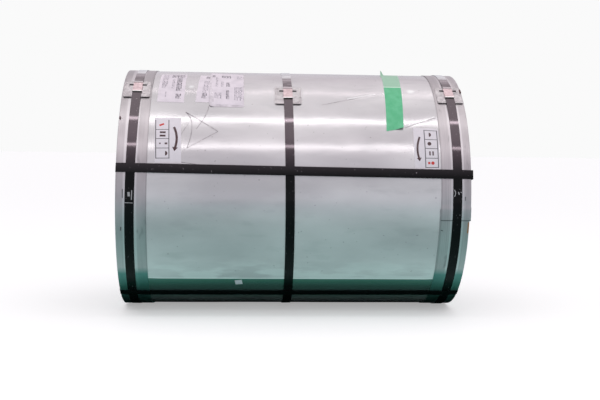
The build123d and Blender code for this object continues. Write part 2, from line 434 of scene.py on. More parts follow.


# %% [markdown]
# Where the sheet laps over its own start, its edge is sprung out a little and catches the light as
# a thin bright line, and its last few millimetres are also painted white as a highlight. The grid is
# finer on the front, where the creases are, and the inside of the sheet, which nobody sees, has only
# two points on each line.

# %% Wrapper sheet
lap_angle = -45.1
lap_turn = math.degrees(76 * mm / sheet_radius)
joggle_turn = math.degrees(30 * mm / sheet_radius)
sheet_end = 360 + lap_turn - math.degrees(7.5 * mm / sheet_radius)
edge_spring = 0.9 * mm


def sheet_rise(x, turned):
    """The lap's height over the true radius, after turning so far from the sheet's outer edge."""
    rise = lap_rise * (1 - smooth_step(lap_turn, lap_turn + joggle_turn, turned))
    free = 1 - smooth_step(478 * mm, 505 * mm, abs(x))
    return rise + edge_spring * free * math.exp(-turned / 0.9)


front_turn = 136
fine_step = 0.62
coarse_step = 1.9
turned_steps = [0.0, 0.3, 0.7, 1.2, 1.8]
while turned_steps[-1] < sheet_end:
    turned_steps.append(turned_steps[-1] + (fine_step if turned_steps[-1] < front_turn else coarse_step))
turned_steps[-1] = sheet_end
half_count = 113
across_steps = [half_strip * (i / half_count - 1) for i in range(2 * half_count + 1)]
sheet_rings, sheet_places = [], []
for turned in turned_steps:
    angle = lap_angle + turned
    round_sheet = math.radians(turned) * sheet_radius
    sheet_places += [(x, round_sheet) for x in across_steps + [half_strip, -half_strip]]
    outside = [on_sheet(x, angle, sheet_rise(x, turned)) for x in across_steps]
    back = sheet_radius + sheet_rise(half_strip, turned) - sheet_thickness
    sheet_rings.append(outside + [on_coil(x, angle, back) for x in (half_strip, -half_strip)])
print(f"sheet of {len(sheet_rings)} lines with {len(across_steps)} points each")

# %% [markdown]
# A skin-passed zinc coating is a mirror seen through a veil: part metallic, fairly smooth,
# with soft lengthwise grain from the rolls, and cloudy where hands and dust have dulled it. The
# grain is really some micrometres wide, and is drawn about a millimetre wide so that it shows.

# %% Sheet finish and piece
sheet_steel, tree = new_material("Bright zinc-coated wrapper sheet")
place = add_node(tree, "ShaderNodeTexCoord", output="Object")
clouds = mottling(tree, (455, 200, 200), 5.0)
smears = mottling(tree, (111, 33.3, 33.3), 3.0)
grain = mottling(tree, (1.4286, 111, 111), 2.0)
specks = mottling(tree, 10.53, 1.0)
tone = tinted(tree, "#CBC6C9", "#E8E3E5", clouds, 0.35, 0.68)
tone = tinted(tree, tone, "#BFBDBF", smears, 0.58, 0.74, 0.35)
tone = tinted(tree, tone, "#8C868A", specks, 0.755, 0.785, 0.55)
dull = add_node(tree, "ShaderNodeMapRange", {"Value": clouds, "From Min": 0.3, "From Max": 0.7,
                                             "To Min": 0.17, "To Max": 0.25})
grainy = add_node(tree, "ShaderNodeBump", {"Height": grain, "Distance": 0.02 * mm, "Strength": 0.5})
flat_place = add_node(tree, "ShaderNodeUVMap", uv_map="unrolled")
from_edge = add_node(tree, "ShaderNodeSeparateXYZ", {0: flat_place}, output="Y")
# Painted highlight: the last few millimetres by the sheet's outer edge turn white.
tone = tinted(tree, tone, "#FFFFFF", from_edge, 5 * mm, 2 * mm, 0.9)
bright = add_node(tree, "ShaderNodeMapRange", {"Value": from_edge, "From Min": 0.10, "From Max": 0.55,
                                               "To Min": 0.28, "To Max": 0.60})
# Painted reflection and shade: the sheet's start, seen below the lap, is tinted a dark green-grey for the
# green floor that it mirrors.
under_lap = add_node(tree, "ShaderNodeMapRange", {"Value": from_edge, "From Min": 2.60, "From Max": 2.66})
tone = add_node(tree, "ShaderNodeMix", {0: under_lap, 6: tone, 7: linear("#81A19B")}, output=2,
                data_type="RGBA")
low_down = add_node(tree, "ShaderNodeMapRange", {"Value": from_edge, "From Min": 0.02, "From Max": 0.11,
                                                 "To Min": 0.5, "To Max": 0.0})
smudged = add_node(tree, "ShaderNodeMapRange", {"Value": smears, "From Min": 0.42, "From Max": 0.58})
share = add_node(tree, "ShaderNodeMath", {0: low_down, 1: smudged}, operation="MULTIPLY")
tone = add_node(tree, "ShaderNodeMix", {0: share, 6: tone, 7: linear("#FFFFFF")}, output=2,
                data_type="RGBA")
lap_shine = add_node(tree, "ShaderNodeMath", {0: under_lap, 1: 0.75}, operation="MULTIPLY")
bright = add_node(tree, "ShaderNodeMath", {0: bright, 1: lap_shine}, operation="MAXIMUM")
smoother = add_node(tree, "ShaderNodeMath", {0: under_lap, 1: -0.10}, operation="MULTIPLY")
dull = add_node(tree, "ShaderNodeMath", {0: dull, 1: smoother}, operation="ADD")
# Painted highlights: white spots on the two deepest dings, where they catch a lamp.
for x, angle, radius in ((-372 * mm, 58.0, 15 * mm), (428 * mm, 56.5, 20 * mm)):
    spot = on_coil(x, angle, sheet_radius)
    away = add_node(tree, "ShaderNodeVectorMath", {0: place, 1: spot}, output="Value", operation="DISTANCE")
    away = add_node(tree, "ShaderNodeMath", {0: smears, 1: 0.03, 2: away}, operation="MULTIPLY_ADD")
    tone = tinted(tree, tone, "#FFFFFF", away, radius + 12 * mm, radius, 0.85)
finish_material(tree, {"Base Color": tone, "Metallic": bright, "Roughness": dull, "Normal": grainy})

points, faces = joined_rings(sheet_rings)
piece_from("dented_wrapper", points, faces, sheet_steel, ["wrapper_sheet"], sharp=50.0,
           flat_places=sheet_places)

# %% [markdown]
# Each end of the pack is guarded by two half rings of galvanised steel, bent to an L. The band
# lies on the wrapper, and the flange covers the rim of the coil's end. Its inner edge is
# crimped, because a flat L can only be curved into a ring if its flange is gathered. The
# upper half laps over the lower one. A spin of one section can't do the laps and crimps, so the
# section is worked out anew at each degree.

# %% Shape of an edge ring
band_width = 104 * mm
flange_depth = 58 * mm
bend_radius = 2.2 * mm
ring_standoff = {"upper": 4.6 * mm, "lower": 1.2 * mm}
ring_joints = {"left": (-84.0, 96.0), "right": (-12.1, 167.9)}
ring_lap = math.degrees(46 * mm / ring_radius)
ring_joggle = math.degrees(4 * mm / ring_radius)
crimp_depth = 0.8 * mm
crimp_pitch = 5.0
print(f"the rings lap by {ring_lap:.1f} degrees")


def ring_section(standoff, lift, angle):
    """The L at the right end as a closed loop of (x, radius), outer side first."""
    face = half_strip + standoff + lift + ring_thickness
    outer = ring_radius + lift
    start = half_strip + standoff - band_width
    wave = 0.12 * mm * noise.noise(Vector((angle / 9, 3.0, 900 * standoff)))
    along = [start + (face - bend_radius - start) * i / 12 for i in range(13)]
    outline = [(x, outer + wave) for x in along]
    for i in range(1, 5):
        turn = math.pi / 8 * i
        outline.append((face - bend_radius + bend_radius * math.sin(turn),
                        outer - bend_radius + bend_radius * math.cos(turn)))
    gather = crimp_depth * (0.5 + 0.5 * math.cos(math.tau * angle / crimp_pitch))
    flange = []
    for i in range(1, 9):
        share = i / 8
        down = bend_radius + (flange_depth - bend_radius) * share
        flange.append((face - gather * share**2, outer - down))
    inner = [(x - ring_thickness, radius) for x, radius in reversed(flange)]
    inner.append((face - ring_thickness, outer - ring_thickness - 0.2 * mm))
    inner += [(x, outer - ring_thickness) for x in reversed(along[::4])]
    return outline + flange + inner


def edge_ring(side, half):
    first, second = ring_joints[side]
    begin, end = first, second
    if half == "lower":
        begin, end = second - ring_lap + ring_joggle, first + 360 + ring_lap - ring_joggle
    sign = -1 if side == "left" else 1
    steps = int(end - begin)
    rings, flat_places = [], []
    for i in range(steps + 1):
        angle = begin + (end - begin) * i / steps
        lift = 0.0
        near = 180.0
        if half == "upper":
            near = min(angle - first, second - angle)
            lift = ring_lap_step * (1 - smooth_step(ring_lap, ring_lap + ring_joggle, near))
        section = ring_section(ring_standoff[half], lift, angle)
        rings.append([on_coil(sign * x, angle, radius) for x, radius in section])
        flat_places += [(x, math.radians(near) * ring_radius) for x, radius in section]
    points, faces = joined_rings(rings)
    piece_from(f"edge_ring_{side}_{half}", points, faces, ring_steel,
               [f"edge_protector_{side}_{half}"], sharp=40.0, flat_places=flat_places)


# %% [markdown]
# The rings are hot-dip galvanised strip that has dulled. Its zinc grains are too fine to show from
# four metres, so only a soft clouding is drawn, with the lengthwise marks of the forming rolls. The
# band is rubbed brighter where the strap has slid on it, and its inner edge is darker. The upper
# halves are painted dark at their ends, as shade where they lap over the lower ones, and low down
# the rings are painted teal, as a reflection of the green floor and its shade.

# %% Edge ring finish and pieces
ring_steel, tree = new_material("Dull galvanised steel")
place = add_node(tree, "ShaderNodeTexCoord", output="Object")
clouds = mottling(tree, (71.4, 167, 167), 5.0)
roll_marks = mottling(tree, (2.381, 333, 333), 2.0)
stains = mottling(tree, (29.4, 77, 77), 4.0)
tone = tinted(tree, "#B8B1B4", "#CDC5C8", clouds, 0.35, 0.7)
tone = tinted(tree, tone, "#A09A9D", roll_marks, 0.52, 0.72, 0.45)
tone = tinted(tree, tone, "#858084", stains, 0.64, 0.74, 0.6)
dull = add_node(tree, "ShaderNodeMapRange", {"Value": clouds, "From Min": 0.3, "From Max": 0.7,
                                             "To Min": 0.32, "To Max": 0.42})
along_axis = add_node(tree, "ShaderNodeSeparateXYZ", {0: place}, output="X")
from_centre = add_node(tree, "ShaderNodeMath", {0: along_axis}, operation="ABSOLUTE")
band_start = half_strip + ring_standoff["upper"] - band_width
tone = tinted(tree, tone, "#5A5658", from_centre, band_start + 4.4 * mm, band_start + 1.4 * mm, 0.25)
past_strap = add_node(tree, "ShaderNodeMath", {0: from_centre, 1: -side_strap_x}, operation="ADD")
from_strap = add_node(tree, "ShaderNodeMath", {0: past_strap}, operation="ABSOLUTE")
tone = tinted(tree, tone, "#E9E3E6", from_strap, 25 * mm, 21 * mm, 0.55)
flat_place = add_node(tree, "ShaderNodeUVMap", uv_map="unrolled")
from_end = add_node(tree, "ShaderNodeSeparateXYZ", {0: flat_place}, output="Y")
# Painted shade: the upper half darkens towards its ends, where it laps over the lower half.
tone = tinted(tree, tone, "#3A3C3C", from_end, 4.5 * mm, 1.5 * mm, 0.8)
height = add_node(tree, "ShaderNodeSeparateXYZ", {0: place}, output="Z")
# Painted reflection and shade: below about 175 mm the rings are tinted teal.
tone = tinted(tree, tone, "#4A8C86", height, 175 * mm, 150 * mm, 0.85)
marked = add_node(tree, "ShaderNodeBump", {"Height": roll_marks, "Distance": 0.03 * mm, "Strength": 0.6})
finish_material(tree, {"Base Color": tone, "Metallic": 0.85, "Roughness": dull, "Normal": marked})
for side in ("left", "right"):
    for half in ("upper", "lower"):
        edge_ring(side, half)


# %% [markdown]
# Two kinds of piece here follow a rule that Geometry Nodes can carry out: the turns of strip wind
# in a spiral, and the straps follow a path. `grown` gives a tree its sizes and its material, each
# by the identifier of its socket, and keeps the result as a plain mesh.

# %% Run a node tree once
def new_shape_tree(name, sizes):
    """A tree with a geometry input and one named input for each size."""
    tree = bpy.data.node_groups.new(name, "GeometryNodeTree")
    tree.interface.new_socket(name="Geometry", in_out="INPUT", socket_type="NodeSocketGeometry")
    tree.interface.new_socket(name="Geometry", in_out="OUTPUT", socket_type="NodeSocketGeometry")
    for size_name, kind in sizes.items():
        tree.interface.new_socket(name=size_name, in_out="INPUT", socket_type=f"NodeSocket{kind}")
    given = add_node(tree, "NodeGroupInput").node.outputs
    print(f"tree {name} with {len(sizes)} inputs")
    return tree, given


def finish_shape_tree(tree, geometry, material):
    real = add_node(tree, "GeometryNodeRealizeInstances", {0: geometry})
    coloured = add_node(tree, "GeometryNodeSetMaterial", {"Geometry": real, "Material": material})
    add_node(tree, "NodeGroupOutput", {"Geometry": coloured})


def grown(tree, start_mesh, **sizes):
    carrier = bpy.data.objects.new("carrier", start_mesh)
    bpy.context.scene.collection.objects.link(carrier)
    modifier = carrier.modifiers.new("shape", "NODES")
    modifier.node_group = tree
    for item in tree.interface.items_tree:
        if item.in_out == "INPUT" and item.name in sizes:
            modifier[item.identifier] = sizes[item.name]
    graph = bpy.context.evaluated_depsgraph_get()
    mesh = bpy.data.meshes.new_from_object(carrier.evaluated_get(graph), depsgraph=graph)
    carrier.modifiers.remove(modifier)
    bpy.data.objects.remove(carrier)
    return mesh


# %% [markdown]
# Inside the rings' flanges the coil's own ends show, and there each turn of the strip stands a
# hair in or out of line with the next. A spiral with a small ridge as its section makes all the
# turns of an end at once, and a slow noise along it moves them in and out. The real strip is under
# a millimetre thick, which wouldn't show, so one drawn turn stands for about three.

# %% Tree that winds the turns
turn_pitch = 3.1 * mm
turn_count = (coil_radius - eye_radius - 1.5 * turn_pitch) / turn_pitch

winding, given = new_shape_tree("wound_turns", {
    "First radius": "Float", "Last radius": "Float", "Turns": "Float", "Steps per turn": "Int",
    "Turn width": "Float", "Turn top": "Float", "Ridge": "Float", "Wander": "Float",
    "Half length": "Float", "Axis height": "Float", "Material": "Material"})
spiral = add_node(winding, "GeometryNodeCurveSpiral", {
    "Resolution": given["Steps per turn"], "Rotations": given["Turns"],
    "Start Radius": given["First radius"], "End Radius": given["Last radius"], "Height": 0.0})
along = add_node(winding, "GeometryNodeSplineParameter", output="Factor")
turn = add_node(winding, "ShaderNodeMath", {0: along, 1: given["Turns"]}, operation="MULTIPLY")
drift = add_node(winding, "ShaderNodeTexNoise", {"W": turn, "Scale": 0.83, "Detail": 3.0},
                 noise_dimensions="1D")
drift = add_node(winding, "ShaderNodeMath", {0: drift, 1: -0.5}, operation="ADD")
rise = add_node(winding, "ShaderNodeMath", {0: drift, 1: given["Wander"]}, operation="MULTIPLY")
shift = add_node(winding, "ShaderNodeCombineXYZ", {"Z": rise})
shifted = add_node(winding, "GeometryNodeSetPosition", {"Geometry": spiral, "Offset": shift})
faced = add_node(winding, "GeometryNodeSetCurveNormal", {"Curve": shifted}, mode="Z_UP")
ridge = add_node(winding, "GeometryNodeCurvePrimitiveQuadrilateral", {
    "Bottom Width": given["Turn width"], "Top Width": given["Turn top"], "Height": given["Ridge"],
    "Offset": 0.0}, mode="TRAPEZOID")
turns = add_node(winding, "GeometryNodeCurveToMesh", {
    "Curve": faced, "Profile Curve": ridge, "Fill Caps": True})
lifted = add_node(winding, "ShaderNodeCombineXYZ", {"X": given["Half length"], "Z": given["Axis height"]})
right_end = add_node(winding, "GeometryNodeTransform", {
    "Geometry": turns, "Translation": lifted, "Rotation": (0, math.pi / 2, 0)})
left_end = add_node(winding, "GeometryNodeTransform", {"Geometry": right_end, "Scale": (-1, 1, 1)})
both_ends = add_node(winding, "GeometryNodeJoinGeometry", {0: [given["Geometry"], left_end, right_end]})
finish_shape_tree(winding, both_ends, given["Material"])

# %% [markdown]
# Behind the ridges the coil is one plain thick tube, with the bore that the mill's mandrel left.
# The innermost turn begins in the bore with a free edge, so the bore's radius steps back by one
# thickness there. The tube ends just short of the strip's own edges, and the ridges cover it.

# %% Coil finish and piece
strip_steel, tree = new_material("Edges of bright stainless strip")
place = add_node(tree, "ShaderNodeTexCoord", output="Object")
centred = add_node(tree, "ShaderNodeMapping", {
    "Vector": place, "Location": (0, 0, -axis_height), "Scale": (0, 1, 1)})
radius = add_node(tree, "ShaderNodeVectorMath", {0: centred}, output="Value", operation="LENGTH")
band_pitch = 3.03 * mm
bands = add_node(tree, "ShaderNodeTexNoise", {"W": radius, "Scale": 1 / band_pitch, "Detail": 3.0},
                 noise_dimensions="1D")
clouds = mottling(tree, 111, 5.0)
tone = tinted(tree, "#8E8B8D", "#DEDBDC", bands, 0.32, 0.68)
tone = tinted(tree, tone, "#9C958F", clouds, 0.5, 0.75, 0.4)
dull = add_node(tree, "ShaderNodeMapRange", {"Value": clouds, "From Min": 0.3, "From Max": 0.7,
                                             "To Min": 0.3, "To Max": 0.42})
finish_material(tree, {"Base Color": tone, "Metallic": 1.0, "Roughness": dull})

bore_step = 0.9 * mm
bore_edge = 248.0
core_half = half_strip - 0.9 * mm
bore_steps = 240
core_rings = []
for i in range(bore_steps + 1):
    angle = bore_edge + 360 * i / bore_steps - 0.001 * (i == bore_steps)
    bore = eye_radius + bore_step * (i / bore_steps)
    section = [(-core_half, bore), (-core_half, coil_radius), (core_half, coil_radius), (core_half, bore)]
    core_rings.append([on_coil(x, angle, at) for x, at in section])
points, faces = joined_rings(core_rings)
core = bpy.data.meshes.new("core")
core.from_pydata(points, [], faces)
coil_mesh = grown(winding, core, **{
    "First radius": eye_radius + turn_pitch / 2, "Last radius": coil_radius - turn_pitch / 2,
    "Turns": turn_count, "Steps per turn": 110, "Turn width": turn_pitch, "Turn top": 0.66 * turn_pitch,
    "Ridge": 1.6 * mm, "Wander": 1.5 * mm, "Half length": half_strip - 0.8 * mm,
    "Axis height": axis_height, "Material": strip_steel})
hand_over("wound_strip", coil_mesh, ["coil"], sharp=25.0)

# %% [markdown]
# The straps are 32 mm steel strapping, painted black. A strap is a flat section swept along a path
# and kept square to it: its width always runs across the path, along the coil's axis for a strap
# round the coil. One tree serves every strap, and only the path and that direction change.

# %% Tree that makes a strap along a path
strapping, given = new_shape_tree("strap_on_path", {
    "Width": "Float", "Thickness": "Float", "Edge radius": "Float", "Across": "Vector",
    "Material": "Material"})
path = add_node(strapping, "GeometryNodeMeshToCurve", {"Mesh": given["Geometry"]})
flat_path = add_node(strapping, "GeometryNodeSetCurveNormal", {"Curve": path, "Normal": given["Across"]},
                     mode="FREE")
gone = add_node(strapping, "GeometryNodeSplineParameter", output="Length")
whole = add_node(strapping, "GeometryNodeSplineLength", output="Length")
left_over = add_node(strapping, "ShaderNodeMath", {0: whole, 1: gone}, operation="SUBTRACT")
measured = add_node(strapping, "GeometryNodeStoreNamedAttribute", {
    0: flat_path, 2: "from_end", 3: left_over}, data_type="FLOAT", domain="POINT")
outline = add_node(strapping, "GeometryNodeCurvePrimitiveQuadrilateral",
                   {"Width": given["Width"], "Height": given["Thickness"]})
outline = add_node(strapping, "GeometryNodeFilletCurve", {
    "Curve": outline, "Radius": given["Edge radius"], "Count": 1}, mode="POLY")
band = add_node(strapping, "GeometryNodeCurveToMesh", {"Curve": measured, "Profile Curve": outline,
                                                       "Fill Caps": True})
finish_shape_tree(strapping, band, given["Material"])


# %% [markdown]
# Strapping paint is a thin black coat with a soft shine. It scrapes off where the strap is hauled
# over a pad and sealed, so the upper stretches show grey steel through it, and it is chipped
# along the edges. The paint also turns grey towards the top as a painted sheen, bands of painted
# highlight and shade lie where the strap rises above its seal, and the tail's last millimetres are
# painted black as the shade under the seal. The paint is a dielectric and the bare steel is a
# metal, so one mask drives the colour, the metallic value and the roughness together.

# %% Strap finish
strap_paint, tree = new_material("Black strapping paint on steel")
place = add_node(tree, "ShaderNodeTexCoord", output="Object")
height = add_node(tree, "ShaderNodeSeparateXYZ", {0: place}, output="Z")
scrapes = mottling(tree, (50, 16.67, 16.67), 4.0)
chips = mottling(tree, 5.88, 2.0)
chipped = add_node(tree, "ShaderNodeMapRange", {
    "Value": chips, "From Min": 0.72, "From Max": 0.74, "To Max": 0.7})
paint_black = "#0B0B0D"
# Painted sheen: the paint turns grey towards the top, where the strap mirrors the bright ceiling.
paint = tinted(tree, paint_black, "#6E6469", height, 505 * mm, 635 * mm)
thin_shine = add_node(tree, "ShaderNodeMapRange", {
    "Value": height, "From Min": 500 * mm, "From Max": 560 * mm, "To Max": 0.92})
from_end = add_node(tree, "ShaderNodeAttribute", attribute_name="from_end", output="Fac")
above_seal = add_node(tree, "ShaderNodeMapRange", {
    "Value": from_end, "From Min": 60 * mm, "From Max": 180 * mm})
# Painted highlight and shade: light and dark bands along the strap where it rises above its seal, over the
# scraped stretch.
rise_highlight_bands = add_node(tree, "ShaderNodeValToRGB", {0: above_seal})
set_stops(rise_highlight_bands, ((0.02, "#E4D9DD"), (0.10, "#D2C7CB"), (0.14, "#80757A"), (0.58, "#8B8085"),
                        (0.64, "#BFB5B9"), (0.76, "#A1979B"), (1.0, "#FFFFFF")))
hauled_and_highlit = add_node(tree, "ShaderNodeMapRange", {"Value": height, "From Min": 785 * mm, "From Max": 800 * mm})
near_seal = add_node(tree, "ShaderNodeMapRange", {
    "Value": from_end, "From Min": 380 * mm, "From Max": 300 * mm})
hauled_and_highlit = add_node(tree, "ShaderNodeMath", {0: hauled_and_highlit, 1: near_seal}, operation="MULTIPLY")
paint = add_node(tree, "ShaderNodeMix", {0: hauled_and_highlit, 6: paint, 7: rise_highlight_bands}, output=2, data_type="RGBA")
scraped = add_node(tree, "ShaderNodeMapRange", {
    "Value": scrapes, "From Min": 0.50, "From Max": 0.57, "To Max": 0.4})
scraped = add_node(tree, "ShaderNodeMath", {0: scraped, 1: hauled_and_highlit}, operation="MULTIPLY")
bare = add_node(tree, "ShaderNodeMath", {0: scraped, 1: chipped}, operation="MAXIMUM")
# Painted shade: the tail's last eight millimetres stay plain black, as the shade under the seal.
clear_of_tail_shade = add_node(tree, "ShaderNodeMapRange", {
    "Value": from_end, "From Min": 8 * mm, "From Max": 10 * mm})
bare = add_node(tree, "ShaderNodeMath", {0: bare, 1: clear_of_tail_shade}, operation="MULTIPLY")
paint = add_node(tree, "ShaderNodeMix", {0: clear_of_tail_shade, 6: linear(paint_black), 7: paint}, output=2,
                 data_type="RGBA")
thin_shine = add_node(tree, "ShaderNodeMath", {0: thin_shine, 1: clear_of_tail_shade}, operation="MULTIPLY")
tone = add_node(tree, "ShaderNodeMix", {0: bare, 6: paint, 7: linear("#B9AEB3")}, output=2,
                data_type="RGBA")
shine = add_node(tree, "ShaderNodeMath", {0: bare, 1: thin_shine}, operation="MAXIMUM")
dull = add_node(tree, "ShaderNodeMapRange", {"Value": scrapes, "From Min": 0.3, "From Max": 0.7,
                                             "To Min": 0.07, "To Max": 0.11})
finish_material(tree, {"Base Color": tone, "Metallic": shine, "Roughness": dull,
                       "Specular IOR Level": 0.15})


# %% Straps round the coil
def strap_along(name, path_points, across, node=None):
    line = bpy.data.meshes.new("path")
    line.from_pydata(path_points, [(i, i + 1) for i in range(len(path_points) - 1)], [])
    mesh = grown(strapping, line, **{"Width": strap_width, "Thickness": strap_thickness,
                                     "Edge radius": 0.25 * mm, "Across": across, "Material": strap_paint})
    hand_over(name, mesh, [node] if node else (), sharp=30.0)


pad_thickness = 2.0 * mm
seal_wall = 0.8 * mm
half_pad = 50 * mm
seal_offset = 10 * mm


def strap_seat(surface):
    """Radius of the strap's inner face where it lies flat over its pad."""
    return surface + air + pad_thickness + 0.3 * mm + seal_wall


def ring_strap(name, x, surface, inside, angle, tilt):
    """From under the seal, once round the coil, and back over its own start."""
    seat = strap_seat(surface)
    lower = seat + strap_thickness / 2
    upper = lower + strap_thickness
    loop_radius = inside + strap_thickness / 2
    rise = math.degrees(math.atan(half_pad / lower))
    reach = rise + math.degrees(math.acos(loop_radius / math.hypot(half_pad, lower)))
    under_end = half_pad - 2 * mm
    path = [Vector((0, y, lower)) for y in (under_end, 0, -half_pad)]
    steps = 220
    for i in range(steps + 1):
        turn = math.radians(reach + (360 - 2 * reach) * i / steps)
        path.append(Vector((0, -loop_radius * math.sin(turn), loop_radius * math.cos(turn))))
    path += [Vector((0, y, upper)) for y in (half_pad, seal_offset, -25 * mm)]
    placed = place_at(x, angle, tilt)
    across = placed.to_3x3() @ Vector((1, 0, 0))
    strap_along(f"strap_round_{name}", [placed @ spot for spot in path], across, f"strap_{name}")


ring_places = {
    "left": (-side_strap_x, ring_radius, 54.0, 0.65),
    "centre": (centre_strap_x, sheet_radius, 51.0, -0.82),
    "right": (side_strap_x, ring_radius, 53.0, 0.0),
}
strap_inside = {"left": side_strap_inside, "centre": centre_strap_inside, "right": side_strap_inside}
for name, (x, surface, angle, tilt) in ring_places.items():
    ring_strap(name, x, surface, strap_inside[name], angle, tilt)

# %% [markdown]
# Four more straps go along the outside, down both ends and back through the eye. They are pulled
# tight over the side straps and bend sharply round the flanges, so the path is straight runs with
# small bends. The front one stands off a little at the right rim, where it didn't bend sharply
# enough. Each is drawn standing at the top of the coil and then turned to its angle.

# %% Straps through the eye
eye_straps = {"front": (9.9, -0.57), "low": (-57.0, 0.21), "top": (107.0, 0.0), "back": (-155.0, 0.0)}
stand_off = {"front": 6.5 * mm, "low": 0.0, "top": 0.0, "back": 0.0}
eye_run_half = 611.05 * mm
flange_end = ring_radius - ring_thickness - flange_depth


def flange_x(side, angle):
    first, second = ring_joints[side]
    half = "upper" if first <= angle < second else "lower"
    return half_strip + ring_standoff[half] + ring_thickness + air


def bent_path(corners, radius):
    """Path back to its own start, in the middle of a side, with each corner turned into a small arc."""
    path = [(corners[-1] + corners[0]) / 2]
    for i, corner in enumerate(corners):
        before = (corners[i - 1] - corner).normalized()
        after = (corners[(i + 1) % len(corners)] - corner).normalized()
        for share in (0.0, 0.25, 0.5, 0.75, 1.0):
            curved = before * (1 - share) ** 2 + after * share**2
            path.append(corner + curved * radius)
    return path + [path[0]]


def eye_strap(name, angle, slant):
    left = flange_x("left", angle) + strap_thickness / 2
    right = flange_x("right", angle) + strap_thickness / 2
    over = side_strap_inside + strap_thickness + 0.3 * mm + strap_thickness / 2
    corner = ring_radius + air + strap_thickness / 2
    edge = side_strap_x + strap_width / 2
    end = eye_run_half + strap_thickness / 2
    wall = eye_radius - 0.7 * mm - strap_thickness / 2
    outline = [(-left, flange_end), (-left, corner), (-edge, over), (edge, over),
               (right + stand_off[name], corner), (right, flange_end), (end, wall), (-end, wall)]
    lean = math.tan(math.radians(slant))
    corners = [Vector((x, x * lean, radius)) for x, radius in outline]
    path = bent_path(corners, 2.5 * mm)
    placed = place_at(0, angle)
    across = placed.to_3x3() @ Vector((-lean, 1, 0)).normalized()
    strap_along(f"strap_through_eye_{name}", [placed @ spot for spot in path], across, f"eye_strap_{name}")


for name, (angle, slant) in eye_straps.items():
    eye_strap(name, angle, slant)

# %% [markdown]
# A pad lies under each seal and keeps it off the sheet. It is a small pressed plate with a raised
# rim and a slot, and the slot has a lip of its own. It is drawn as a grid of points whose height
# follows the rim and the lip, with the slot's faces left out. The strap shades what lies below the
# slot, so a thin dark plate closes it from below as painted shade, and the pad's lower edge is
# painted dark as the shade beneath it.

# %% Slotted pads
pad_half_x = 47.5 * mm
pad_corner = 8 * mm
slot_half_x = 31.5 * mm
slot_half_y = 4.5 * mm
slot_y = 28 * mm
plate = 1.2 * mm
press_depth = pad_thickness - plate


def cut_lines(half, inner, count):
    """Grid lines over a side, with lines on the slot's two edges."""
    lines = {-half, half, *inner}
    lines.update(-half + 2 * half * i / count for i in range(count + 1))
    kept = sorted(lines)
    return [v for i, v in enumerate(kept)
            if v in inner or v in (-half, half) or all(abs(v - w) > 0.8 * mm for w in inner)]


def pad_height(x, y):
    """Height of the pressed rim and of the slot's lip above the plate, 0 to 1."""
    from_edge = min(pad_half_x - abs(x), half_pad - abs(y))
    rim = math.exp(-(((from_edge - 4.5 * mm) / (2.2 * mm)) ** 2))
    out_x = max(abs(x) - slot_half_x, 0)
    out_y = max(abs(y - slot_y) - slot_half_y, 0)
    lip = math.exp(-(((math.hypot(out_x, out_y) - 2.2 * mm) / (1.6 * mm)) ** 2))
    return max(rim, lip)


def rounded(x, y, half_x, half_y, radius):
    """A place in a rectangle's corner, pulled in so that the corner comes out round."""
    over_x = abs(x) - (half_x - radius)
    over_y = abs(y) - (half_y - radius)
    if over_x > 0 and over_y > 0:
        pull = max(over_x, over_y) / math.hypot(over_x, over_y)
        x = math.copysign(half_x - radius + over_x * pull, x)
        y = math.copysign(half_y - radius + over_y * pull, y)
    return x, y


pad_steel, tree = new_material("Bright pressed zinc-coated plate")
rubbed = mottling(tree, 16.67, 4.0)
tone = tinted(tree, "#B4ADB0", "#D6D0D2", rubbed, 0.38, 0.66)
dull = add_node(tree, "ShaderNodeMapRange", {"Value": rubbed, "From Min": 0.3, "From Max": 0.7,
                                             "To Min": 0.26, "To Max": 0.4})
from_low_edge = add_node(tree, "ShaderNodeAttribute", attribute_name="from_low_edge", output="Fac")
# Painted shade: the pad darkens along its lower edge.
tone = tinted(tree, tone, "#2B242A", from_low_edge, 2.2 * mm, 1.0 * mm, 0.9)
finish_material(tree, {"Base Color": tone, "Metallic": 1.0, "Roughness": dull})


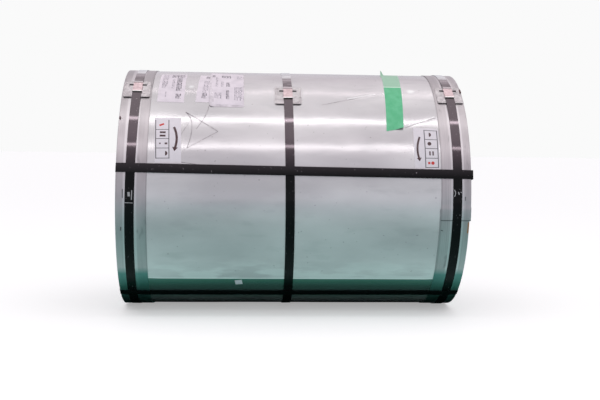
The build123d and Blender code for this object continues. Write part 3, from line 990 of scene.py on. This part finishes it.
def slotted_pad(name, x, surface, angle, tilt):
    lines_x = cut_lines(pad_half_x, (-slot_half_x, slot_half_x), 48)
    lines_y = cut_lines(half_pad, (slot_y - slot_half_y, slot_y + slot_half_y), 50)
    pad_middle = (surface + air + pad_thickness / 2) * math.sin(math.radians(angle))
    placed = place_at(x + pad_middle * math.sin(math.radians(tilt)), angle)
    shape = bmesh.new()
    low_edge = shape.verts.layers.float.new("from_low_edge")
    levels = []
    for level_z in (plate, 0.0):
        grid = {}
        for i, at_x in enumerate(lines_x):
            for j, at_y in enumerate(lines_y):
                lift = surface + air + level_z + press_depth * pad_height(at_x, at_y)
                flat = rounded(at_x, at_y, pad_half_x, half_pad, pad_corner)
                grid[i, j] = shape.verts.new(placed @ Vector((*flat, lift)))
                grid[i, j][low_edge] = flat[1] + half_pad
        levels.append(grid)
    in_slot_x = {i for i, at_x in enumerate(lines_x) if -slot_half_x <= at_x < slot_half_x}
    in_slot_y = {j for j, at_y in enumerate(lines_y) if slot_y - slot_half_y <= at_y < slot_y + slot_half_y}
    cells = {(i, j) for i in range(len(lines_x) - 1) for j in range(len(lines_y) - 1)
             if not (i in in_slot_x and j in in_slot_y)}
    top, bottom = levels
    for i, j in cells:
        around = [(i, j), (i + 1, j), (i + 1, j + 1), (i, j + 1)]
        shape.faces.new([top[key] for key in around])
        shape.faces.new([bottom[key] for key in reversed(around)])
        for k, (di, dj) in enumerate(((0, -1), (1, 0), (0, 1), (-1, 0))):
            if (i + di, j + dj) not in cells:
                first, second = around[k], around[(k + 1) % 4]
                shape.faces.new((top[second], top[first], bottom[first], bottom[second]))
    bmesh.ops.delete(shape, geom=[v for v in shape.verts if not v.link_faces], context="VERTS")
    mesh = bpy.data.meshes.new(name)
    shape.to_mesh(mesh)
    shape.free()
    mesh.materials.append(pad_steel)
    hand_over(f"slotted_pad_{name}", mesh, [f"pad_{name}"], sharp=40.0)
    half_x = slot_half_x + 2 * mm
    half_y = slot_half_y + 2 * mm
    rings = [[placed @ Vector((x * half_x, slot_y + y * half_y, surface + level_z)) for x, y in square]
             for level_z in (0.15 * mm, 0.05 * mm)]
    points, faces = joined_rings(rings)
    piece_from(f"slot_shade_{name}", points, faces, shaded_slot)


shaded_slot, tree = new_material("Shaded bottom of a slot")
# Painted shade: a dark plate under each slot, a little mottled.
shade_mottling = mottling(tree, 11.1, 2.0)
tone = add_node(tree, "ShaderNodeMix", {0: shade_mottling, 6: linear("#120C12"), 7: linear("#2A222A")}, output=2,
                data_type="RGBA")
finish_material(tree, {"Base Color": tone, "Roughness": 0.9})
for name, (x, surface, angle, tilt) in ring_places.items():
    slotted_pad(name, x, surface, angle, tilt)

# %% [markdown]
# A seal is a short steel sleeve that is slipped over both layers of the strap and bitten shut with
# a notching tool. It is open below, between its two lips. Its section is drawn once and repeated
# along its length, pulled in at the two notches and flared a little at its ends.

# %% Crimped seals
seal_length = 57 * mm
notch_at = 12 * mm
notch_half = 2.8 * mm
notch_depth = 1.9 * mm
seal_half_x = strap_width / 2 + 0.3 * mm + seal_wall
seal_half_z = strap_thickness + 0.05 * mm + seal_wall

seal_steel, tree = new_material("Crimped bright steel seal")
rubbed = mottling(tree, 11.76, 4.0)
tone = tinted(tree, "#CBB3B7", "#E2CCCF", rubbed, 0.38, 0.66)
flat_place = add_node(tree, "ShaderNodeUVMap", uv_map="unrolled")
along_seal = add_node(tree, "ShaderNodeSeparateXYZ", {0: flat_place}, output="Y")
from_middle = add_node(tree, "ShaderNodeMath", {0: along_seal}, operation="ABSOLUTE")
half_seal = seal_length / 2
# Painted highlight: the seal's lower end, where its lip flares, turns near white.
tone = tinted(tree, tone, "#FFFAFA", along_seal, 6.5 * mm - half_seal, 5.0 * mm - half_seal)
# Painted shade: a dark line just below the seal's upper end.
tone = tinted(tree, tone, "#5B4A50", along_seal, half_seal - 4.0 * mm, half_seal - 2.5 * mm, 0.6)
# Painted shade: the end faces are dark, for the shade in the seal's mouths, on its cut edges.
shaded_cut_end = add_node(tree, "ShaderNodeMath", {0: from_middle, 1: half_seal - 0.3 * mm},
                   operation="GREATER_THAN")
tone = add_node(tree, "ShaderNodeMix", {0: shaded_cut_end, 6: tone, 7: linear("#2A2023")}, output=2,
                data_type="RGBA")
finish_material(tree, {"Base Color": tone, "Metallic": 1.0, "Roughness": 0.28})


def seal_section(along):
    """The open sleeve's section at a distance along it, as a closed loop of (across, up)."""
    bite = math.exp(-(((abs(along) - notch_at) / notch_half) ** 4))
    flare = 0.35 * mm * smooth_step(half_seal - 4 * mm, half_seal, abs(along))
    half = seal_half_x - notch_depth * bite
    top = seal_half_z + flare
    low = -seal_half_z
    lip = 7.3 * mm
    bend = 0.5 * mm
    inner = half - seal_wall
    outside = [(lip, low), (half - bend, low), (half, low + bend), (half, top - bend), (half - bend, top)]
    inside = [(inner, top - seal_wall), (inner, low + seal_wall), (lip, low + seal_wall)]
    mirrored = [(-x, z) for x, z in outside[::-1] + inside[::-1]]
    return outside + [(0, top + 0.1 * mm)] + mirrored + inside


def seal(name, placed, node):
    """A seal whose length runs along local Y, round layers that lie in the local XY plane."""
    steps = 46
    rings, flat_places = [], []
    for i in range(steps + 1):
        along = seal_length * (i / steps - 0.5)
        section = seal_section(along)
        rings.append([placed @ Vector((across, along, up)) for across, up in section])
        flat_places += [(across, along) for across, up in section]
    points, faces = joined_rings(rings)
    piece_from(name, points, faces, seal_steel, [node], sharp=30.0, flat_places=flat_places)


for name, (x, surface, angle, tilt) in ring_places.items():
    on_strap = Matrix.Translation((0, seal_offset, strap_seat(surface) + strap_thickness))
    seal(f"crimped_seal_{name}", place_at(x, angle, tilt) @ on_strap, f"seal_{name}")

# %% [markdown]
# The straps through the eye are sealed on the ends of the pack, between the flange and the eye,
# where the strap runs free in front of the turns. The second layer of strap that the seal grips
# is a short length of its own here.

# %% Seals on the ends
eye_seal_radius = 347.6 * mm
half_tail = 44 * mm
seal_side = {"front": "left", "low": "right", "top": "right", "back": "left"}


def end_seal(name, angle, slant, side):
    sign = -1 if side == "left" else 1
    outer = Vector((sign * flange_x(side, angle), 0, flange_end))
    inner = Vector((sign * eye_run_half, 0, eye_radius - 0.1 * mm))
    share = (eye_seal_radius - inner.z) / (outer.z - inner.z)
    middle = inner + (outer - inner) * share
    middle.y = middle.x * math.tan(math.radians(slant))
    up_run = (outer - inner).normalized()
    out = Vector((sign * up_run.z, 0, -sign * up_run.x))
    across = up_run.cross(out)
    axes = Matrix((across, up_run, out)).transposed().to_4x4()
    placed = place_at(0, angle) @ Matrix.Translation(middle) @ axes
    raised = Matrix.Translation((0, 0, strap_thickness))
    seal(f"crimped_seal_eye_{name}", placed @ raised, f"eye_seal_{name}")
    tail = [placed @ Vector((0, along, 1.5 * strap_thickness)) for along in (-half_tail, 0, half_tail)]
    strap_along(f"strap_tail_{name}", tail, placed.to_3x3() @ Vector((1, 0, 0)))


for name, (angle, slant) in eye_straps.items():
    end_seal(name, angle, slant, seal_side[name])


# %% [markdown]
# Labels, stickers and tape lie on the sheet and follow its dents. Each is a thin closed patch
# between four corners, given as a distance along the axis and an angle. A curl lifts the patch
# where an edge has come loose. Its flat size is kept as a UV map in metres, so that what is
# printed on it comes out at its real size. Several patches can be one piece.

# %% Thin patches on the sheet
def sheet_patch(corners, lift, thickness=0.15 * mm, cell=6 * mm, curl=None, corner_radius=0.0):
    """Points, flat places and faces. Corners run from the upper left clockwise, seen from the front."""
    upper_left, upper_right, lower_right, lower_left = [unrolled(*corner) for corner in corners]
    width = (upper_right - upper_left).length
    height = (upper_left - lower_left).length
    count_u = max(2, int(width / cell))
    count_v = max(2, int(height / cell))
    points, flat_places, faces = [], [], []
    for layer in (thickness, 0.0):
        for j in range(count_v + 1):
            for i in range(count_u + 1):
                x, y = rounded((i / count_u - 0.5) * width, (j / count_v - 0.5) * height,
                               width / 2, height / 2, corner_radius)
                u, v = x / width + 0.5, y / height + 0.5
                flat = upper_left.lerp(upper_right, u).lerp(lower_left.lerp(lower_right, u), 1 - v)
                loose = curl(u, v) if curl else 0.0
                points.append(on_sheet(flat.x, math.degrees(flat.y / sheet_radius), lift + layer + loose))
                flat_places.append(flat - lower_left)
    row = count_u + 1
    under = row * (count_v + 1)
    for j in range(count_v):
        for i in range(count_u):
            corner = j * row + i
            around = (corner, corner + 1, corner + row + 1, corner + row)
            faces.append(around)
            faces.append(tuple(under + index for index in reversed(around)))
    rim = [i for i in range(count_u)] + [count_u + j * row for j in range(count_v)]
    rim += [count_v * row + i for i in range(count_u, 0, -1)] + [j * row for j in range(count_v, 0, -1)]
    for k, index in enumerate(rim):
        following = rim[(k + 1) % len(rim)]
        faces.append((following, index, under + index, under + following))
    return points, flat_places, faces


def lay_on_sheet(name, parts, material):
    points, flat_places, faces = [], [], []
    for part_points, part_places, part_faces in parts:
        start = len(points)
        points += part_points
        flat_places += part_places
        faces += [tuple(start + index for index in face) for face in part_faces]
    piece_from(name, points, faces, material, sharp=60.0, flat_places=flat_places)


def inside(corners, u, v):
    """Place at shares of a patch's width and height, counted from its lower left corner."""
    upper_left, upper_right, lower_right, lower_left = [Vector(corner) for corner in corners]
    return tuple(lower_left.lerp(lower_right, u).lerp(upper_left.lerp(upper_right, u), v))


def block_of(corners, u0, v0, u1, v1):
    return [inside(corners, u, v) for u, v in ((u0, v1), (u1, v1), (u1, v0), (u0, v0))]


# %% [markdown]
# The labels are white paper from a laser printer: matt, faintly warm, and greyed by dust. From
# four metres print is only a grey texture, so it is short dashes that run up the label in columns.
# A line pattern comes from the label's own width, and noise breaks each line into dashes. Real
# small print would be finer than the picture's dots, so it is drawn coarser.

# %% Papers for the labels
line_pitch = 5.0 * mm
dash_length = 3.2 * mm


def printed_paper(name, ink_gap, ink):
    """Paper whose print leaves more of each line bare the higher the gap is."""
    material, tree = new_material(name)
    dust = mottling(tree, 33.3, 4.0)
    paper = tinted(tree, "#E8DEE6", "#DAD1D9", dust, 0.4, 0.7)
    flat_place = add_node(tree, "ShaderNodeUVMap", uv_map="unrolled")
    u = add_node(tree, "ShaderNodeSeparateXYZ", {0: flat_place}, output="X")
    v = add_node(tree, "ShaderNodeSeparateXYZ", {0: flat_place}, output="Y")
    lines = add_node(tree, "ShaderNodeMath", {0: u, 1: 1 / line_pitch}, operation="MULTIPLY")
    line_number = add_node(tree, "ShaderNodeMath", {0: lines}, operation="FLOOR")
    in_line = add_node(tree, "ShaderNodeMath", {0: lines}, operation="FRACT")
    inked_line = add_node(tree, "ShaderNodeMath", {0: in_line, 1: 0.72}, operation="LESS_THAN")
    dashes = add_node(tree, "ShaderNodeMath", {0: v, 1: 1 / dash_length}, operation="MULTIPLY")
    dash_place = add_node(tree, "ShaderNodeCombineXYZ", {0: line_number, 1: dashes})
    dash_noise = add_node(tree, "ShaderNodeTexNoise", {"Vector": dash_place, "Scale": 0.9, "Detail": 0.0})
    dash = add_node(tree, "ShaderNodeMath", {0: dash_noise, 1: ink_gap}, operation="GREATER_THAN")
    inked = add_node(tree, "ShaderNodeMath", {0: dash, 1: inked_line}, operation="MULTIPLY")
    tone = add_node(tree, "ShaderNodeMix", {0: inked, 6: paper, 7: linear(ink)}, output=2, data_type="RGBA")
    finish_material(tree, {"Base Color": tone, "Roughness": 0.5})
    return material


plain_paper = printed_paper("White label paper", 1.0, "#FFFFFF")
small_print = printed_paper("Label paper with small print", 0.50, "#9A929C")
bold_print = printed_paper("Label paper with bold print", 0.44, "#57505C")

# %% [markdown]
# Each label is a patch of plain paper, and its print is more patches just above it, placed by
# shares of the label's width and height. The third label is in a clear sleeve that is stuck over
# the second one. The sleeve has round corners, and it stands off a little at its lower left.

# %% Labels
fit_scale = 1.0035 * mm
paper_lift = 0.25 * mm
print_lift = 0.45 * mm
sleeve_lift = 0.9 * mm


def at_marks(*places):
    """Places given as millimetres along the axis and an angle, brought to the sheet's own units."""
    return [(x * fit_scale, angle) for x, angle in places]


def label(name, corners, lift, small, bold):
    lay_on_sheet(name, [sheet_patch(corners, lift)], plain_paper)
    rise = lift + print_lift - paper_lift
    for kind, blocks, material in (("small", small, small_print), ("bold", bold, bold_print)):
        parts = [sheet_patch(block_of(corners, *block), rise, 0.05 * mm, 4 * mm) for block in blocks]
        lay_on_sheet(f"{name}_{kind}_print", parts, material)


label("label_left", at_marks((-484.5, 72.7), (-390.9, 73.7), (-392.8, 44.9), (-487, 45.3)), paper_lift,
      small=[(0.10, 0.38, 0.31, 0.97), (0.48, 0.37, 0.59, 0.72), (0.27, 0.12, 0.31, 0.28)],
      bold=[(0.44, 0.80, 0.93, 0.95), (0.66, 0.30, 0.86, 0.77), (0.67, 0.09, 0.88, 0.22),
            (0.12, 0.46, 0.30, 0.58)])
label("label_middle", at_marks((-340.9, 72.3), (-262, 72.0), (-270, 45.2), (-352.6, 45.5)), paper_lift,
      small=[(0.24, 0.26, 0.48, 0.70)], bold=[(0.30, 0.80, 0.52, 0.93), (0.24, 0.10, 0.46, 0.26)])


def sleeve_curl(u, v):
    return 3.0 * mm * smooth_step(0.16, 0.0, u) * smooth_step(0.55, 0.0, v)


sleeve_corners = at_marks((-306.9, 78.4), (-181.5, 75.4), (-180.2, 42.4), (-302.5, 42.6))
sleeve_paper = block_of(sleeve_corners, 0.05, 0.04, 0.97, 0.97)
label("label_in_sleeve", sleeve_paper, sleeve_lift + 0.1 * mm,
      small=[(0.13, 0.42, 0.20, 0.78), (0.30, 0.42, 0.38, 0.60), (0.10, 0.13, 0.33, 0.27),
             (0.80, 0.74, 0.98, 0.88), (0.72, 0.10, 0.98, 0.45)],
      bold=[(0.02, 0.76, 0.12, 0.87), (0.32, 0.76, 0.62, 0.87), (0.47, 0.44, 0.58, 0.58),
            (0.46, 0.12, 0.56, 0.34)])

sleeve_film, tree = new_material("Clear polyethylene sleeve over paper")
creased = mottling(tree, 18.18, 3.0)
tone = tinted(tree, "#C9C0C7", "#E8DFE6", creased, 0.35, 0.7)
puckered = add_node(tree, "ShaderNodeBump", {"Height": creased, "Distance": 0.4 * mm, "Strength": 0.4})
finish_material(tree, {"Base Color": tone, "Roughness": 0.18, "Normal": puckered})
sleeve = sheet_patch(sleeve_corners, paper_lift + 0.2 * mm, 0.3 * mm, 4 * mm, sleeve_curl, 9 * mm)
lay_on_sheet("label_sleeve", [sleeve], sleeve_film)


# %% [markdown]
# Printed marks are flat shapes too. A small one, such as a disc or an arrow's head, is one outline.
# A longer one is a band of even width through a few places, bent smoothly between them, so the
# same function draws frames, arrows and the scratches on the sheet.

# %% Printed marks and drawn lines
def flat_mark(outline, lift, thickness=0.05 * mm, surface=on_sheet):
    """A small shape whose outline is given as places on the sheet laid flat."""
    turned = [(spot.x, math.degrees(spot.y / sheet_radius)) for spot in outline]
    points, faces = joined_rings([[surface(x, angle, lift + layer) for x, angle in turned]
                                  for layer in (thickness, 0.0)])
    return points, list(outline) * 2, faces


def drawn_band(places, width, lift, thickness=0.05 * mm, surface=on_sheet):
    """A band through two places, or bent through three."""
    spots = [unrolled(*spot) for spot in places]
    if len(spots) == 2:
        spots.insert(1, (spots[0] + spots[1]) / 2)
    pull = 2 * spots[1] - (spots[0] + spots[2]) / 2
    steps = max(2, int((spots[2] - spots[0]).length / (6 * mm)))
    rings, flat_places = [], []
    for i in range(steps + 1):
        t = i / steps
        spot = spots[0] * (1 - t) ** 2 + pull * (2 * t * (1 - t)) + spots[2] * t**2
        run = (pull - spots[0]) * (1 - t) + (spots[2] - pull) * t
        aside = Vector((-run.y, run.x)).normalized() * width / 2
        near, far = spot + aside, spot - aside
        edges = ((near, thickness), (far, thickness), (far, 0.0), (near, 0.0))
        rings.append([surface(at.x, math.degrees(at.y / sheet_radius), lift + up) for at, up in edges])
        flat_places += [near, far, far, near]
    points, faces = joined_rings(rings)
    return points, flat_places, faces


def disc(centre, radius, begin=0.0, end=360.0):
    """Outline of a disc, or of the part of one between two angles."""
    middle = unrolled(*centre)
    sides = 14
    count = sides + (end - begin < 360)
    turns = [math.radians(begin + (end - begin) * i / sides) for i in range(count)]
    return [middle + Vector((math.cos(turn), math.sin(turn))) * radius for turn in turns]


def draw_lines(name, lines, lift, material, surface=on_sheet):
    """One piece of several bands. Each line is its width in millimetres and its places."""
    bands = [drawn_band(at_marks(*places), width * mm, lift, surface=surface) for width, *places in lines]
    lay_on_sheet(name, bands, material)


def bar(centre, length, height, lean=0.0):
    """Outline of a bar, leaning by so many degrees."""
    middle = unrolled(*centre)
    turned = Matrix.Rotation(math.radians(lean), 2)
    return [middle + turned @ Vector((length / 2 * across, height / 2 * up)) for across, up in square]


# %% [markdown]
# A sticker is a film printed with a column of four framed cells and a bent arrow beside them. Each
# cell holds a plain mark: a slanted bar, two bars, a disc or half a disc. Vinyl film is smooth and
# faintly glossy, and the ink on it is matt.

# %% Sticker film and inks
def plain_film(name, colour, roughness):
    """One colour of film or ink, with a faint unevenness from the printing roller."""
    material, tree = new_material(name)
    uneven = mottling(tree, 14.29, 3.0)
    tone = tinted(tree, colour, "#B9B2B8", uneven, 0.35, 0.7, 0.12)
    finish_material(tree, {"Base Color": tone, "Roughness": roughness})
    return material


sticker_vinyl = plain_film("White vinyl sticker", "#E8E0E6", 0.35)
dark_ink = plain_film("Dark red-brown printing ink", "#42191E", 0.45)
red_ink = plain_film("Red printing ink", "#D2342C", 0.45)
black_ink = plain_film("Black printing ink", "#26222A", 0.45)
film_lift = 0.25 * mm
ink_lift = 0.5 * mm
frame_line = 2.6 * mm
cell_line = 2.0 * mm


def frame_lines(top_left, top_right, bottom_right, bottom_left, dividers):
    """The two sides of a column of cells, and a line across at each divider's angle."""
    lines = []
    for top, bottom in ((top_left, bottom_left), (top_right, bottom_right)):
        lines.append(drawn_band([top, bottom], frame_line, ink_lift))
    for angle in dividers:
        share = (angle - bottom_left[1]) / (top_left[1] - bottom_left[1])
        left = Vector(bottom_left).lerp(Vector(top_left), share)
        right = Vector(bottom_right).lerp(Vector(top_right), share)
        lines.append(drawn_band([tuple(left), tuple(right)], cell_line, ink_lift))
    return lines


def bent_arrow(places, width, head):
    """A bent band that ends in a triangle."""
    tip = unrolled(*places[-1])
    run = (tip - unrolled(*places[1])).normalized()
    aside = Vector((-run.y, run.x))
    base = tip - run * 4 * mm
    triangle = [base + run * head, base - aside * head * 0.65, base + aside * head * 0.65]
    return [drawn_band(places, width, ink_lift), flat_mark(triangle, ink_lift + 0.06 * mm)]


def handling_sticker(name, corners, cells, dividers, arrow, width, head):
    """The film with its frame and arrow. The marks in the cells are pieces of their own."""
    lay_on_sheet(name, [sheet_patch(at_marks(*corners), film_lift)], sticker_vinyl)
    lay_on_sheet(f"{name}_frame", frame_lines(*at_marks(*cells), dividers), black_ink)
    lay_on_sheet(f"{name}_arrow", bent_arrow(at_marks(*arrow), width, head), dark_ink)


def print_marks(name, outlines, ink):
    """One piece of several marks in one ink."""
    lay_on_sheet(name, [flat_mark(outline, ink_lift) for outline in outlines], ink)


def beside(place, along=0.0, up=0.0):
    """A place moved by a length along the axis and by an angle."""
    return place[0] + along, place[1] + up


# %% Left handling sticker
handling_sticker("sticker_left", ((-489, 35.2), (-399, 35.4), (-392, 13.0), (-482, 12.9)),
                 ((-485.7, 34.1), (-440.2, 34.2), (-433.9, 15.0), (-478.7, 14.9)), (29.0, 24.4, 19.8, 15.1),
                 ((-421.5, 30.4), (-410.5, 25.1), (-415.5, 19.8)), 8.0 * mm, 15 * mm)
first, second, third, fourth = at_marks((-464, 31.6), (-459, 26.8), (-455, 22.1), (-452, 17.4))
print_marks("sticker_left_red_mark", [bar(first, 17 * mm, 7 * mm, 24)], red_ink)
print_marks("sticker_left_marks", [
    bar(beside(second, up=0.8), 20 * mm, 7 * mm), bar(beside(second, up=-0.9), 20 * mm, 7 * mm),
    bar(beside(third, 9 * mm), 9 * mm, 7 * mm), bar(beside(third, -12 * mm), 5 * mm, 5 * mm),
    disc(beside(fourth, 4 * mm), 8 * mm, -90, 90)], dark_ink)

# %% Right handling sticker
handling_sticker("sticker_right", ((416, 31.8), (504, 31.5), (503, 11.2), (415, 11.3)),
                 ((454, 30.7), (498.8, 30.4), (498.3, 12.1), (453.6, 12.0)), (30.5, 25.8, 21.3, 16.6, 12.2),
                 ((436.9, 27), (426.9, 21.4), (432.0, 16.2)), 7.0 * mm, 13 * mm)
first, second, third, fourth = at_marks((470, 28.2), (470, 23.6), (475, 18.9), (474, 14.3))
print_marks("sticker_right_marks", [
    disc(first, 8 * mm, -90, 90), disc(second, 7 * mm),
    bar(beside(third, -5 * mm), 5 * mm, 15 * mm), bar(beside(third, 6 * mm), 5 * mm, 15 * mm)], dark_ink)
print_marks("sticker_right_red_marks", [
    disc(beside(fourth, 5 * mm), 6 * mm), bar(beside(fourth, -8 * mm), 8 * mm, 8 * mm)], red_ink)

# %% [markdown]
# The sheet is scratched where something was dragged over it. A scratch lays open fresh metal with
# rough sides, so it looks thin and dark. It is too fine for the sheet's own grid, and is drawn as
# a band that lies in the surface. Two of the dark bands run along creases as painted shade, and a
# pale band beside each of these creases is a painted highlight.

# %% Scratches in the sheet
scratch_and_crease_shade, tree = new_material("Scratches and painted crease shade on zinc-coated sheet")
patchy = mottling(tree, 25, 3.0)
tone = tinted(tree, "#4E444A", "#8D8489", patchy, 0.38, 0.62)
finish_material(tree, {"Base Color": tone, "Metallic": 0.5, "Roughness": 0.5})

scratch_lift = 0.02 * mm
scratch_and_crease_lines = (
    (2.2, (-384.7, 39.0), (-269.2, 28.4)),
    (1.5, (-269.2, 28.4), (-373.9, 20.0)),
    (1.8, (-384.7, 39.0), (-359.8, 31.6), (-373.9, 20.0)),
    (1.4, (-304.0, 43.0), (-316.0, 36.5), (-345.4, 29.5)),
    (1.0, (-372.0, 32.5), (-405.0, 24.5)),
    # Painted shade: these two run along the creases.
    (1.6, (97.5, 44.8), (215.0, 49.6)),
    (1.6, (387.5, 31.7), (499.1, 37.6)),
    (1.4, (-442.0, 14.2), (-333.0, 12.4)),
)
# Painted highlight along the lit side of each crease.
crease_highlight, tree = new_material("Painted highlight on a crease")
patchy = mottling(tree, 40, 3.0)
tone = tinted(tree, "#F1ECEE", "#FFFFFF", patchy, 0.38, 0.62)
finish_material(tree, {"Base Color": tone, "Metallic": 0.2, "Roughness": 0.25})
ridges = (
    (2.6, (190.0, 49.4), (296.0, 53.6)),
    (1.6, (400.0, 33.2), (497.0, 38.2)),
)
draw_lines("crease_highlights", ridges, scratch_lift, crease_highlight)
scrap = bar((-190.5 * fit_scale, -48.1), 25 * mm, 26 * mm, 8)
lay_on_sheet("paper_scrap", [flat_mark(scrap, 0.2 * mm)], plain_paper)
draw_lines("scratch_and_crease_lines", scratch_and_crease_lines, scratch_lift, scratch_and_crease_shade)

# %% [markdown]
# The rings and the side straps have small marks of their own. Short slits were punched in the rings
# for bending, a small tab stands up on each rim, and a sliver of rust runs down one of them below
# the lap. Paint has flaked off the side straps in a few places on the front. Each is a thin shape
# that lies on its ring or strap.

# %% Slits, tabs, rust and flaked paint
def on_ring(x, angle, lift):
    return on_coil(x, angle, ring_radius + lift)


def on_side_strap(x, angle, lift):
    return on_coil(x, angle, side_strap_inside + strap_thickness + lift)


# Painted shade: each slit is a dark band on its ring, for the shade inside the open slit.
slit_shade = plain_film("Dark slit in galvanised steel", "#4A4A4C", 0.6)
rust = plain_film("Rust on a sheared steel rim", "#A0704A", 0.8)
primer = plain_film("Dark red primer on a steel tab", "#4E262B", 0.6)
flaked_steel = plain_film("Bare steel under flaked paint", "#A9A4A7", 0.4)
slits = (
    (3.2, (-588.5, 1.1), (-588.1, -2.9)),
    (3.0, (591.9, -0.9), (591.9, -2.7)),
    (4.0, (-593.5, -16.0), (-594.8, -17.8)),
    (2.6, (509.5, -16.5), (518.0, -16.9)),
)
ring_lift = 0.15 * mm
tab_height = 5.0 * mm
draw_lines("ring_slits", slits, ring_lift, slit_shade, on_ring)
draw_lines("rim_rust", [(5.0, (606.5, -12.7), (605.5, -18.0))], ring_lift, rust, on_ring)
tabs = (bar((611.5 * mm, 56.3), 6 * mm, 20 * mm), bar((-610.5 * mm, 34.7), 5 * mm, 8 * mm))
lay_on_sheet("rim_tabs", [flat_mark(tab, ring_lift, tab_height, on_ring) for tab in tabs], primer)
flakes = (
    (8.0, (-567.5, -0.2), (-566.0, -2.1)),
    (3.0, (-556.5, 0.6), (-557.5, -3.6)),
    (2.2, (-580.5, -4.9), (-552.5, -5.0)),
    (3.0, (552.5, 2.2), (556.8, 0.6), (552.5, -0.9)),
    (4.0, (566.5, 1.2), (569.5, 0.0)),
    (3.0, (575.0, 1.3), (577.5, 0.8)),
)
draw_lines("strap_flakes", flakes, 0.1 * mm, flaked_steel, on_side_strap)

# %% [markdown]
# A strip of green tape runs from the top down the front. It is thin film with a dull shine. Its
# upper part is rubbed paler, above a line where it was once folded. Its top corner is torn and
# stands up, and so does its lower right one.

# %% Green tape
tape_film, tree = new_material("Green adhesive tape")
wrinkles = mottling(tree, 23.8, 4.0)
green = tinted(tree, "#54BA85", "#66C493", wrinkles, 0.35, 0.7)
flat_place = add_node(tree, "ShaderNodeUVMap", uv_map="unrolled")
up_tape = add_node(tree, "ShaderNodeSeparateXYZ", {0: flat_place}, output="Y")
fold_at = 236 * mm
tone = tinted(tree, green, "#B9CDBE", up_tape, fold_at, fold_at + 1 * mm, 0.62)
on_fold = add_node(tree, "ShaderNodeMath", {0: up_tape, 1: fold_at, 2: 2.4 * mm}, operation="COMPARE")
tone = add_node(tree, "ShaderNodeMix", {0: on_fold, 6: tone, 7: linear("#DDF0E2")}, output=2,
                data_type="RGBA")
wrinkled = add_node(tree, "ShaderNodeBump", {"Height": wrinkles, "Distance": 0.3 * mm, "Strength": 0.4})
finish_material(tree, {"Base Color": tone, "Roughness": 0.4, "Normal": wrinkled})


def tape_curl(u, v):
    fold = 0.5 * mm * math.exp(-(((v - 0.62) / 0.012) ** 2))
    torn = 9.0 * mm * smooth_step(0.45, 1.0, u) * smooth_step(0.06, 0.0, v)
    torn_top = 19.0 * mm * smooth_step(0.22, 0.0, u) * smooth_step(0.96, 1.0, v)
    return fold + torn + torn_top


lay_on_sheet("green_tape", [sheet_patch(at_marks((339.1, 82.5), (404.3, 82.5), (382, 31.3), (321.2, 29.8)),
                                        0.35 * mm, cell=5 * mm, curl=tape_curl)], tape_film)
